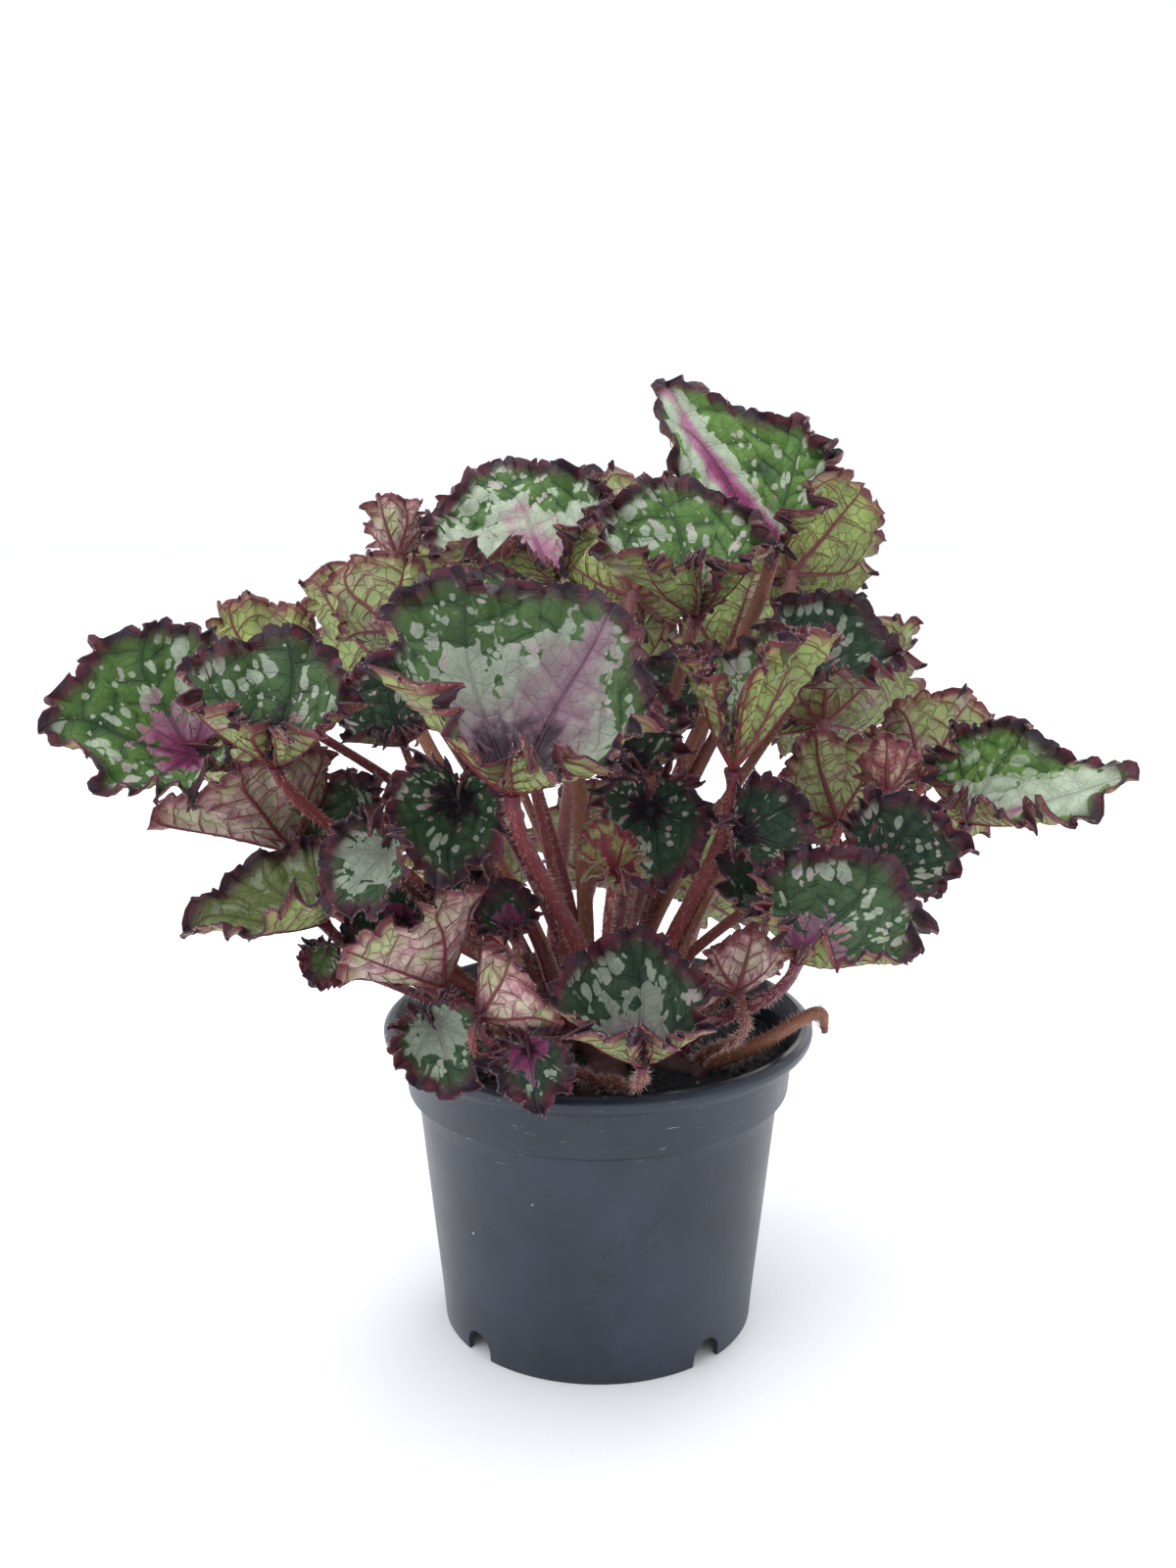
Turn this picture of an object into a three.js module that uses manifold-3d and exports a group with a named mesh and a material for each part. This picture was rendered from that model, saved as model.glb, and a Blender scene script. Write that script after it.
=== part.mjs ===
// A potted rex begonia: a nursery pot, its soil, one rhizome with all its leaf stalks, and
// every leaf blade as a thin waved shell.
//
// Millimetres, +Z up. The origin is the middle of the pot's underside, and -Y is the front.

import * as THREE from 'three';
import { mergeVertices } from 'three/addons/utils/BufferGeometryUtils.js';
import Module from 'manifold-3d';

const wasm = await Module();
wasm.setup();

// ---------------------------------------------------------------- driving dimensions

const GAP = 0.3; // clearance between pieces that touch on the real plant

const POT = {
  height: 103.4,
  rimRadius: 70, // outer radius of the rolled lip
  footRadius: 51.5,
  wall: 1.6,
  lipHeight: 5,
  lipWidth: 5.5, // how far the lip stands out past the collar
  lipRound: 1.6,
  collarHeight: 22, // lip and collar together
  collarRadius: 62.5, // outer radius at the collar's lower edge
  collarStep: 3.6, // how far the body is set in below the collar
  stepHeight: 6, // the slope from the body out to the collar
  floorHeight: 7, // top of the raised ring of floor above the ground
  wellRadius: 24, // flat middle of the floor, which stands on the ground
  sides: 32,
};

// Drainage notches in the foot, and drainage holes in the raised floor.
const NOTCH = { count: 4, width: 11, height: 8.5, depth: 8, firstAngle: 42, sides: 4 };
const DRAIN = { count: 6, radius: 3.2, ringRadius: 37, sides: 8 };

const SOIL = { edgeHeight: 92, crown: 3, roughness: 0.5, rings: 3, sides: 16 };

const RHIZOME = { radius: 8, taper: 0.3, knobs: 0.1, steps: 4, sides: 7 };

// The rhizome creeps over the soil, half sunk in it, and branches from the middle of the pot.
const RHIZOME_MIDDLE = [0, -4, 96];
const BRANCHES = [
  { heading: -146, via: [-18, -12, 95], end: [-33, -28, 91] },
  { heading: -92, via: [3, -22, 95], end: [-2, -42, 91] },
  { heading: -34, via: [17, -15, 95], end: [35, -26, 91] },
  { heading: 42, via: [14, 10, 95], end: [27, 26, 91] },
  { heading: 136, via: [-15, 11, 95], end: [-25, 30, 91] },
];

const STALK = {
  girth: 0.045, // radius as a share of the midrib's length
  thick: 2.4,
  thin: 1.4,
  taper: 0.3,
  steps: 4,
  sides: 5,
  highest: 150, // height over the rim of the blades that root in the middle
  approach: 20, // how far under the blade it turns towards its seat
  seat: 0.75, // from the middle of the blade down to the end of the stalk
};

// An old stalk that has lost its blade. It leans out over the rim and its dry end hangs down.
const CUT_STALK = {
  route: [[31, -23, 94.5], [49, -29, 104], [64, -27, 112.5], [69.5, -26, 113.5], [71, -25, 107]],
  base: 2.4,
  end: 1.5,
  steps: 8,
};

const BLADE_THICKNESS = 0.8;

const OUTLINE = {
  long: 0.12, // how much further the outline reaches towards the tip than to the sides
  tipSharpness: 1.4, // 2 is a round tip and 1 a pointed one
  notch: 0.72, // depth of the notch at the stalk
  notchSpread: 0.36,
  lobes: 7, // shallow angular lobes where the main veins end
  lobeDepth: 0.045,
  tooth: 0.05, // how far each tooth stands out, as a share of the reach
};

const RUFFLE = { waves: 9, smallWaves: 14, height: 0.07, smallShare: 0.45 };

const RINGS = [0.36, 0.76, 1]; // rings of points from the stalk to the margin
const RING_POINTS = [1, 2, 4]; // how many times the innermost ring's points each ring has
const FINENESS = { 5: 28, 7: 48, 9: Infinity }; // points on the innermost ring: longest midrib

// ---------------------------------------------------------------- where the blades are

// What a blade is like unless its own row says otherwise.
const USUAL_BLADE = {
  cup: 14, // degrees that the blade rises from its stalk all round
  lip: 60, // degrees more that the lobes beside the notch rise
  fold: 8, // degrees more that the two sides rise
  curl: 14, // degrees that it bends between the stalk and the margin
  point: 0.12, // how far the tip stands out, as a share of the midrib
  tipWidth: 0.36, // how broad the tip is, in radians
  lopsided: 0.13, // how much broader one side is than the other
  wide: 1, // the broad side: 1 is left and -1 is right, seen from above with the tip up
  rise: 0.4, // how far the stalk climbs upright, as a share of its height
  bow: [0, 0, -8], // bends the top of the stalk clear of the blades that it passes
};

// Each row: name, where the stalk joins, where the tip is, which way the upper side looks.
const BLADE_ROWS = [
  // middle of the front
  ['main', [-24, -78, 197], [5, -46, 246], [-0.15, -0.85, 0.5], { lopsided: 0.24 }],
  ['crown_silver', [-13, 10, 244], [-35, 36, 282], [0, -0.9, 0.45]],
  ['crown_green', [30, -14, 237], [19, 8, 279], [0.1, -0.85, 0.5], { lip: 80, bow: [-4, 12, -8] }],
  ['crown_small', [-27, -36, 227], [-32, -22, 254], [0, -0.9, 0.5]],
  ['mid_hanging', [-40, -56, 190], [-42, -78, 170], [0, -0.7, 0.7], { wide: -1 }],
  ['mid_silver', [-58, -78, 180], [-74, -92, 167], [-0.25, -0.6, 0.35], { bow: [-7, -3, -8] }],
  ['mid_dark_left', [-69, -26, 168], [-82, -11, 188], [-0.25, -0.7, 0.15], { bow: [4, 5, -6] }],
  ['left_shadow', [-60, -16, 198], [-70, -6, 224], [0.1, -0.9, 0.3]],
  ['mid_hanging_right', [14, -40, 184], [20, -62, 164], [0.1, -0.7, 0.7], { wide: -1 }],
  ['mid_new_red', [4, -72, 172], [-2, -74, 189], [0.3, -0.8, 0.3], { cup: 34, lip: 10, bow: [0, 16, -10] }],
  ['mid_shadow', [10, -24, 190], [4, -14, 224], [0, -0.9, 0.4]],
  ['mid_deep_right', [25, 11, 197], [30, 25, 222], [-0.2, -0.75, 0.55], { bow: [5, -3, -12] }],
  ['low_pink_spot', [-25, -48, 147], [-29, -42, 163], [0, -0.9, 0.4]],
  ['bottom_center', [12, -80, 119], [11, -61, 154], [0, -0.9, 0.6], { lip: 80, bow: [2, 2, -6] }],
  ['low_center_under', [-34, -76, 131], [-10, -86, 135], [0.1, 0.8, 0.5], { wide: -1 }],
  ['rim_silver', [-47, -66, 126], [-40, -82, 108], [-0.1, -0.7, 0.2], { rise: 1, bow: [8, -3, -5] }],
  ['rim_dark', [-20, -75, 122], [-17, -88, 107], [-0.1, -1.1, 0.25], { bow: [2, -1, -13] }],
  // left
  ['left_spotted', [-91, -62, 201], [-86, -42, 238], [0, -0.9, 0.45], { lip: 80 }],
  ['far_left', [-122, -28, 196], [-159, -52, 214], [-0.1, -0.75, 0.65],
    { wide: -1, rise: 0.8, bow: [4, 14, 6] }],
  ['left_fan_under', [-66, 16, 228], [-86, 27, 247], [-0.3, 0.85, 0.4]],
  ['left_burgundy', [-44, 44, 246], [-47, 52, 273], [0, 0.9, 0.4], { cup: 30, lip: 20 }],
  ['left_curl', [-67, 42, 249], [-74, 46, 270], [0, 0.9, 0.4], { cup: 40, lip: 5, bow: [8, 16, -8] }],
  ['left_back_under', [-104, -4, 212], [-117, 6, 240], [-0.2, 0.85, 0.4], { rise: 0.7 }],
  ['left_brown_under', [-92, -36, 169], [-130, -48, 185], [-0.2, 0.35, 0.9]],
  ['left_yellow', [-80, -56, 153], [-118, -70, 159], [-0.2, -0.25, 0.9], { bow: [6, 10, -4] }],
  ['left_tiny', [-79, -55, 145], [-83, -61, 134], [-0.1, -0.9, 0.3], { bow: [-2, -4, -13] }],
  ['low_left_under', [-45, -64, 136], [-70, -86, 156], [-0.3, 0.5, 0.8]],
  ['low_left_dark', [-57, -47, 150], [-73, -53, 164], [-0.15, -1.05, 0.3], { bow: [-4, 10, -10] }],
  ['low_left_fan', [-41, -32, 149], [-43, -29, 165], [0.05, -0.85, 0.3], { bow: [2, 6, -10] }],
  // right
  ['top_right', [56, 26, 252], [19, 50, 309], [0, -0.95, 0.35],
    { wide: -1, lopsided: 0.24, point: 0.44, tipWidth: 0.3, bow: [0, 6, -8] }],
  ['top_right_under', [66, 54, 242], [93, 68, 273], [0.2, 0.85, 0.4]],
  ['right_cup', [38, -54, 198], [52, -14, 232], [-0.1, -0.45, 0.9],
    { wide: -1, cup: 30, lip: 40, fold: 16, bow: [5, 5, -8] }],
  ['right_behind_cup', [65, 18, 210], [84, 36, 239], [0.1, -0.8, 0.5], { wide: -1 }],
  ['right_olive_under', [76, -6, 170], [66, 2, 198], [-0.1, 0.9, 0.3], { lip: 25 }],
  ['right_new_red', [88, -24, 184], [87, -20, 202], [0, 0.9, 0.2], { cup: 30, lip: 15 }],
  ['right_dark_spotted', [84, -32, 160], [110, -45, 171], [0, -0.7, 0.7]],
  ['far_right', [115, -12, 172], [165, -26, 190], [-0.1, -0.5, 0.85],
    { point: 0.36, tipWidth: 0.28, fold: 22, lip: 30 }],
  ['right_round_tip', [107, 22, 178], [127, 34, 206], [0.1, 0.8, 0.5], { bow: [2, 14, -6] }],
  ['right_dark_inner', [40, -50, 178], [62, -60, 174], [0, -0.7, 0.7]],
  ['right_pink_heart', [55, -78, 149], [82, -62, 176], [-0.1, -0.75, 0.6], { wide: -1 }],
  ['right_lipped', [49, -51, 152], [51, -45, 178], [0.05, -0.8, 0.45], { lip: 80, bow: [6, 9, -6] }],
  ['right_low_under', [41, -52, 130], [45, -50, 150], [0, 0.9, 0.45], { bow: [7, -4, -8] }],
  // back
  ['back_top', [12, 58, 234], [0, 84, 276], [0, 0.9, 0.45]],
  ['back_left', [-64, 56, 200], [-104, 82, 236], [-0.4, 0.75, 0.5]],
  ['back_right', [80, 64, 188], [118, 92, 218], [0.4, 0.75, 0.5]],
  ['back_mid', [-6, 84, 182], [-16, 112, 234], [0, 0.85, 0.5]],
  ['back_crown_left', [-33, 83, 225], [-48, 111, 253], [-0.15, 1.2, 0.8], { bow: [6, -3, -5] }],
  ['back_crown_right', [46, 84, 208], [58, 104, 240], [0.2, 0.85, 0.45]],
  ['back_low_left', [-42, 72, 124], [-64, 90, 158], [-0.3, 0.9, 0.3]],
  ['back_low_right', [38, 72, 122], [60, 90, 156], [0.3, 0.9, 0.3]],
  ['back_low_mid', [-2, 78, 126], [-5, 88, 164], [0, 0.9, 0.2]],
  ['side_left', [-108, 30, 164], [-144, 44, 180], [-0.4, 0.5, 0.8]],
  ['side_right', [104, 40, 142], [140, 56, 158], [0.4, 0.5, 0.8]],
];

// ---------------------------------------------------------------- materials

const material = (colour, roughness) =>
  new THREE.MeshStandardMaterial({ color: colour, roughness, metalness: 0, side: THREE.DoubleSide });

const POT_PLASTIC = material('#2a2e36', 0.38);
const POTTING_SOIL = material('#1d1815', 0.95);
const STALK_RED = material('#8a3a30', 0.6);
const LEAF_GREEN = material('#35602f', 0.5);

// ---------------------------------------------------------------- geometry helpers

const radians = THREE.MathUtils.degToRad;
const vector = (point) => new THREE.Vector3(...point);

// A repeatable number from 0 to 1 for each pair of seeds.
function chance(seed, index) {
  const value = Math.sin(seed * 12.9898 + index * 78.233) * 43758.5453;
  return value - Math.floor(value);
}

// A seed from a blade's name, so that each keeps its own ripple.
const seedOf = (name) =>
  [...name].reduce((sum, letter, index) => sum + letter.charCodeAt(0) * (index + 1), 0);

function toSolid(geometry) {
  const bare = geometry.clone();
  bare.deleteAttribute('normal');
  bare.deleteAttribute('uv');
  const merged = mergeVertices(bare, 1e-4);
  return new wasm.Manifold(
    new wasm.Mesh({
      numProp: 3,
      vertProperties: new Float32Array(merged.attributes.position.array),
      triVerts: new Uint32Array(merged.index.array),
    }),
  );
}

function fromSolid(solid) {
  const { vertProperties, triVerts } = solid.getMesh();
  const geometry = new THREE.BufferGeometry();
  geometry.setAttribute('position', new THREE.BufferAttribute(new Float32Array(vertProperties), 3));
  geometry.setIndex(new THREE.BufferAttribute(new Uint32Array(triVerts), 1));
  return geometry;
}

// A round solid about +Z from [radius, height] corners listed from the axis, out and back.
function turned(profile, sides) {
  const geometry = new THREE.LatheGeometry(
    profile.map(([radius, height]) => new THREE.Vector2(radius, height)),
    sides,
  );
  geometry.rotateX(Math.PI / 2);
  return geometry;
}

// A closed tube along a curve. radiusAt(share) gives its radius from 0 at the start to 1 at the end.
function taperedTube(curve, radiusAt, steps, sides) {
  const frames = curve.computeFrenetFrames(steps, false);
  const points = [];
  const faces = [];
  for (let step = 0; step <= steps; step += 1) {
    const share = step / steps;
    const centre = curve.getPointAt(share);
    const radius = radiusAt(share);
    for (let side = 0; side < sides; side += 1) {
      const turn = (side / sides) * 2 * Math.PI;
      const across = frames.normals[step].clone().multiplyScalar(Math.cos(turn) * radius);
      const along = frames.binormals[step].clone().multiplyScalar(Math.sin(turn) * radius);
      points.push(centre.clone().add(across).add(along));
    }
  }
  const corner = (step, side) => step * sides + (side % sides);
  for (let step = 0; step < steps; step += 1) {
    for (let side = 0; side < sides; side += 1) {
      faces.push(corner(step, side), corner(step, side + 1), corner(step + 1, side + 1));
      faces.push(corner(step, side), corner(step + 1, side + 1), corner(step + 1, side));
    }
  }
  for (let side = 1; side < sides - 1; side += 1) {
    faces.push(corner(0, 0), corner(0, side + 1), corner(0, side));
    faces.push(corner(steps, 0), corner(steps, side), corner(steps, side + 1));
  }
  return new THREE.BufferGeometry().setFromPoints(points).setIndex(faces);
}

// ---------------------------------------------------------------- pot

// The pot's inner wall as [radius, height] corners, from its foot up, moved in by a clearance.
function innerWall(clearance) {
  const { height, rimRadius, footRadius, wall, lipHeight, lipWidth, collarHeight } = POT;
  const { collarRadius, collarStep, stepHeight, floorHeight } = POT;
  const collarFoot = height - collarHeight;
  const inner = (radius) => radius - wall - clearance;
  return [
    [inner(footRadius), floorHeight + clearance],
    [inner(collarRadius - collarStep), collarFoot - stepHeight + wall],
    [inner(collarRadius), collarFoot + wall],
    [inner(rimRadius - lipWidth), height - lipHeight - wall],
  ];
}

function potProfile() {
  const { height, rimRadius, footRadius, wall, lipHeight, lipWidth, lipRound } = POT;
  const { collarHeight, collarRadius, collarStep, stepHeight, floorHeight, wellRadius } = POT;
  const collarTop = rimRadius - lipWidth;
  const bodyTop = collarRadius - collarStep;
  const collarFoot = height - collarHeight;
  const lipFoot = height - lipHeight;
  return [
    [0, 0],
    [wellRadius, 0],
    [wellRadius + wall, floorHeight - wall],
    [footRadius - wall, floorHeight - wall],
    [footRadius - wall, 0],
    [footRadius, 0],
    [bodyTop, collarFoot - stepHeight],
    [bodyTop + collarStep / 4, collarFoot - stepHeight / 4],
    [collarRadius, collarFoot],
    [collarTop - wall / 2, lipFoot - 2 * wall],
    [collarTop + wall, lipFoot],
    [rimRadius - lipRound / 2, lipFoot],
    [rimRadius, lipFoot + lipRound],
    [rimRadius, height - lipRound],
    [rimRadius - lipRound, height],
    [rimRadius - lipWidth + lipRound, height],
    ...innerWall(0).reverse(),
    [wellRadius, floorHeight],
    [wellRadius - wall, wall],
    [0, wall],
  ];
}

// An arch-topped block that reaches through the foot of the wall.
function notchCutter(angle) {
  const { width, height, depth, sides } = NOTCH;
  const spring = height - width / 2; // where the straight sides meet the arch
  const below = -1;
  const arch = new THREE.Shape();
  arch.moveTo(-width / 2, below);
  arch.lineTo(width / 2, below);
  arch.lineTo(width / 2, spring);
  arch.absarc(0, spring, width / 2, 0, Math.PI, false);
  arch.lineTo(-width / 2, below);
  const block = new THREE.ExtrudeGeometry(arch, { depth, bevelEnabled: false, curveSegments: sides });
  block.rotateX(Math.PI / 2);
  block.translate(0, depth / 2 - POT.footRadius + POT.wall, 0);
  block.rotateZ(radians(angle));
  return block;
}

function drainCutter(angle) {
  const hole = new THREE.CylinderGeometry(DRAIN.radius, DRAIN.radius, 4 * POT.wall, DRAIN.sides);
  hole.rotateX(Math.PI / 2);
  hole.translate(DRAIN.ringRadius, 0, POT.floorHeight - POT.wall / 2);
  hole.rotateZ(radians(angle));
  return hole;
}

function potGeometry() {
  let pot = toSolid(turned(potProfile(), POT.sides));
  for (let notch = 0; notch < NOTCH.count; notch += 1) {
    const angle = NOTCH.firstAngle + (notch * 360) / NOTCH.count;
    pot = pot.subtract(toSolid(notchCutter(angle)));
  }
  for (let drain = 0; drain < DRAIN.count; drain += 1) {
    pot = pot.subtract(toSolid(drainCutter(((drain + 0.5) * 360) / DRAIN.count)));
  }
  return fromSolid(pot);
}

// ---------------------------------------------------------------- rhizome and stalks

const curveThrough = (route) => new THREE.CatmullRomCurve3(route.map(vector));
const branchCurve = (branch) => curveThrough([RHIZOME_MIDDLE, branch.via, branch.end]);

function branchTube(branch, spare) {
  const knobby = (share) => {
    const knob = 1 + RHIZOME.knobs * Math.cos(share * 6 * Math.PI);
    return RHIZOME.radius * (1 - RHIZOME.taper * share) * knob + spare;
  };
  return taperedTube(branchCurve(branch), knobby, RHIZOME.steps, RHIZOME.sides);
}

// ---------------------------------------------------------------- soil

function soilProfile() {
  const { wall, floorHeight, wellRadius } = POT;
  const [foot, stepFoot, collarFoot, lipFoot] = innerWall(GAP);
  const climb = (SOIL.edgeHeight - collarFoot[1]) / (lipFoot[1] - collarFoot[1]);
  const edge = THREE.MathUtils.lerp(collarFoot[0], lipFoot[0], climb);
  const surface = [];
  for (let ring = SOIL.rings; ring >= 0; ring -= 1) {
    const share = ring / SOIL.rings;
    surface.push([edge * share, SOIL.edgeHeight + SOIL.crown * (1 - share * share)]);
  }
  return [
    [0, wall + GAP],
    [wellRadius - wall - GAP, wall + GAP],
    [wellRadius - GAP, floorHeight + GAP],
    foot,
    stepFoot,
    collarFoot,
    ...surface,
  ];
}

// Gentle lumps, the same every time.
const lump = (x, y) =>
  Math.sin(x * 0.31 + y * 0.17) + Math.sin(y * 0.37 - x * 0.23) + Math.sin(x * 0.09);

function soilGeometry() {
  const soil = turned(soilProfile(), SOIL.sides);
  const place = soil.attributes.position;
  for (let index = 0; index < place.count; index += 1) {
    const z = place.getZ(index);
    if (z >= SOIL.edgeHeight - GAP) {
      place.setZ(index, z + SOIL.roughness * lump(place.getX(index), place.getY(index)));
    }
  }
  let solid = toSolid(soil);
  for (const branch of BRANCHES) {
    solid = solid.subtract(toSolid(branchTube(branch, GAP)));
  }
  return fromSolid(solid);
}

// ---------------------------------------------------------------- blades

// Reach of the outline, as a share of the midrib. turn is 0 towards the tip and PI at the notch.
function outlineReach(turn, blade) {
  const towardsTip = Math.exp(-((Math.abs(turn) / blade.tipWidth) ** OUTLINE.tipSharpness));
  const towardsNotch = Math.exp(-(((Math.PI - Math.abs(turn)) / OUTLINE.notchSpread) ** 2));
  const sides = 1 - OUTLINE.long - blade.point;
  const round = sides + OUTLINE.long * Math.cos(turn) + blade.point * towardsTip;
  const lopsided = 1 + blade.lopsided * blade.wide * Math.sin(turn);
  const lobes = 1 + OUTLINE.lobeDepth * Math.cos(OUTLINE.lobes * turn);
  return round * lopsided * lobes * (1 - OUTLINE.notch * towardsNotch);
}

// A point of the blade in its own frame: the midrib starts along +x and the upper side looks
// along +z. share runs from 0 at the stalk to 1 at the margin.
function bladePoint(turn, share, blade, toothed) {
  const towardsBase = ((1 - Math.cos(turn)) / 2) ** 1.5;
  const sideways = Math.sin(turn) ** 2;
  const start = radians(blade.cup + blade.lip * 0.5 * towardsBase + blade.fold * sideways);
  const bend = radians(blade.curl + blade.lip * 0.5 * towardsBase + blade.fold * 0.5 * sideways) + 1e-4;
  const reach = outlineReach(turn, blade) * (1 + toothed * OUTLINE.tooth);
  const slope = start + bend * share;
  const out = (reach * (Math.sin(slope) - Math.sin(start))) / bend;
  const up = (reach * (Math.cos(start) - Math.cos(slope))) / bend;
  const wave =
    Math.sin(RUFFLE.waves * turn + 6 * chance(blade.seed, 1)) +
    RUFFLE.smallShare * Math.sin(RUFFLE.smallWaves * turn + 6 * chance(blade.seed, 2));
  const ripple = blade.ripple * wave * share ** 3;
  const radius = out - Math.sin(slope) * ripple;
  return new THREE.Vector3(
    Math.cos(turn) * radius,
    Math.sin(turn) * radius,
    up + Math.cos(slope) * ripple,
  );
}

// The matrix that lays a blade's own frame between its stalk and its tip.
function bladePlace(blade) {
  const from = vector(blade.at);
  const along = vector(blade.tip).sub(from);
  const chord = bladePoint(0, 1, { ...blade, ripple: 0 }, 0);
  const size = along.length() / chord.length();
  along.normalize();
  const face = vector(blade.face);
  face.addScaledVector(along, -face.dot(along)).normalize();
  const across = new THREE.Vector3().crossVectors(face, along);
  const lift = Math.atan2(chord.z, chord.x);
  return new THREE.Matrix4()
    .makeBasis(along, across, face)
    .multiply(new THREE.Matrix4().makeRotationY(lift))
    .scale(new THREE.Vector3(size, size, size))
    .setPosition(from);
}

// The number of points on the innermost ring: small blades have fewer.
function bladeFineness(blade) {
  const sizes = Object.entries(FINENESS).filter(([, longest]) => blade.length <= longest);
  return Number(sizes[0][0]);
}

function bladeGeometry(blade) {
  const fineness = bladeFineness(blade);
  const counts = RING_POINTS.map((times) => times * fineness);
  const place = bladePlace(blade);
  const points = [new THREE.Vector3().applyMatrix4(place)];
  const starts = [];
  counts.forEach((count, ring) => {
    starts.push(points.length);
    for (let index = 0; index < count; index += 1) {
      const turn = (index / count) * 2 * Math.PI - Math.PI;
      const toothed = ring === RINGS.length - 1 ? (index % 2) * 2 - 1 : 0;
      points.push(bladePoint(turn, RINGS[ring], blade, toothed).applyMatrix4(place));
    }
  });
  const faces = [];
  for (let index = 0; index < counts[0]; index += 1) {
    faces.push(0, starts[0] + index, starts[0] + ((index + 1) % counts[0]));
  }
  for (let ring = 1; ring < counts.length; ring += 1) {
    joinRings(faces, starts[ring - 1], counts[ring - 1], starts[ring], counts[ring]);
  }
  return thickened(points, faces, starts[counts.length - 1], counts[counts.length - 1]);
}

// Triangles between an inner ring and an outer ring with twice as many points.
function joinRings(faces, innerStart, innerCount, outerStart, outerCount) {
  const inner = (index) => innerStart + ((index + innerCount) % innerCount);
  const outer = (index) => outerStart + ((index + outerCount) % outerCount);
  for (let index = 0; index < innerCount; index += 1) {
    faces.push(inner(index), outer(2 * index), outer(2 * index + 1));
    faces.push(inner(index), outer(2 * index + 1), inner(index + 1));
    faces.push(inner(index + 1), outer(2 * index + 1), outer(2 * index + 2));
  }
}

// A sheet of triangles made a closed shell: the same triangles on both faces, joined at the margin.
function thickened(points, faces, rimStart, rimCount) {
  const sheet = new THREE.BufferGeometry().setFromPoints(points).setIndex(faces);
  sheet.computeVertexNormals();
  const normals = sheet.attributes.normal;
  const offset = (side) =>
    points.map((point, index) => {
      const normal = new THREE.Vector3().fromBufferAttribute(normals, index);
      return point.clone().addScaledVector(normal, (side * BLADE_THICKNESS) / 2);
    });
  const under = points.length;
  const both = [...offset(1), ...offset(-1)];
  const shell = [...faces];
  for (let index = 0; index < faces.length; index += 3) {
    shell.push(faces[index] + under, faces[index + 2] + under, faces[index + 1] + under);
  }
  for (let index = 0; index < rimCount; index += 1) {
    const here = rimStart + index;
    const next = rimStart + ((index + 1) % rimCount);
    shell.push(here, here + under, next + under);
    shell.push(here, next + under, next);
  }
  return new THREE.BufferGeometry().setFromPoints(both).setIndex(shell);
}

// ---------------------------------------------------------------- stalks

// A stalk springs from the branch that heads its way. The low outer blades root near the
// branch's end and the high ones near the middle, so that the stalks fan out without crossing.
function stalkRoot(blade) {
  const [x, y, z] = blade.at;
  const heading = THREE.MathUtils.radToDeg(Math.atan2(y - RHIZOME_MIDDLE[1], x));
  const away = (branch) => Math.abs(((heading - branch.heading + 540) % 360) - 180);
  const [nearest] = [...BRANCHES].sort((one, other) => away(one) - away(other));
  const outwards = 1.05 - (z - POT.height) / STALK.highest;
  return branchCurve(nearest).getPointAt(THREE.MathUtils.clamp(outwards, 0.1, 0.9));
}

function stalkCurve(blade) {
  const root = stalkRoot(blade);
  const join = vector(blade.at);
  const down = new THREE.Vector3(0, 0, -1).transformDirection(bladePlace(blade));
  const end = join.clone().addScaledVector(down, STALK.seat);
  const below = join.clone().addScaledVector(down, STALK.approach).add(vector(blade.bow));
  const rise = root.clone();
  rise.z += blade.rise * (join.z - root.z);
  return new THREE.CubicBezierCurve3(root, rise, below, end);
}

function stalkTube(blade) {
  const radius = THREE.MathUtils.clamp(blade.length * STALK.girth, STALK.thin, STALK.thick);
  const taper = (share) => radius * (1 + STALK.taper * (0.5 - share));
  return taperedTube(stalkCurve(blade), taper, STALK.steps, STALK.sides);
}

function cutStalkTube() {
  const { route, base, end, steps } = CUT_STALK;
  const taper = (share) => THREE.MathUtils.lerp(base, end, share);
  return taperedTube(curveThrough(route), taper, steps, STALK.sides);
}

function rhizomeGeometry(blades) {
  const branches = BRANCHES.map((branch) => branchTube(branch, 0));
  const tubes = [...branches, ...blades.map(stalkTube), cutStalkTube()];
  return fromSolid(tubes.map(toSolid).reduce((whole, tube) => whole.add(tube)));
}

// ---------------------------------------------------------------- plant

function piece(name, geometry, finish) {
  const mesh = new THREE.Mesh(geometry, finish.clone());
  mesh.name = name;
  return mesh;
}

const plant = new THREE.Group();
plant.name = 'potted_rex_begonia';

function bladeFrom([name, at, tip, face, own]) {
  const length = vector(at).distanceTo(vector(tip));
  const ripple = RUFFLE.height;
  const seed = seedOf(name);
  return { ...USUAL_BLADE, name, at, tip, face, length, ripple, seed, ...own };
}

const blades = BLADE_ROWS.map(bladeFrom);

plant.add(piece('pot', potGeometry(), POT_PLASTIC));
plant.add(piece('soil', soilGeometry(), POTTING_SOIL));
plant.add(piece('rhizome_and_stalks', rhizomeGeometry(blades), STALK_RED));
for (const blade of blades) {
  plant.add(piece(`leaf_${blade.name}`, bladeGeometry(blade), LEAF_GREEN));
}

export default plant;
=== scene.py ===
"""A potted rex begonia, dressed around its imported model.

The pot is spun, the soil is a bed of crumbs, the stalks are hairy tubes along Bezier curves, and
each leaf blade is a sheet that is bent, ruffled, puckered between its veins and given a thickness.
Everything is in metres, +Z up, with the front of the plant towards -Y.
"""

import math
from types import SimpleNamespace

import bpy
import numpy as np
from bpy.props import FloatProperty, FloatVectorProperty, IntProperty, PointerProperty
from mathutils import Matrix, Vector


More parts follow.
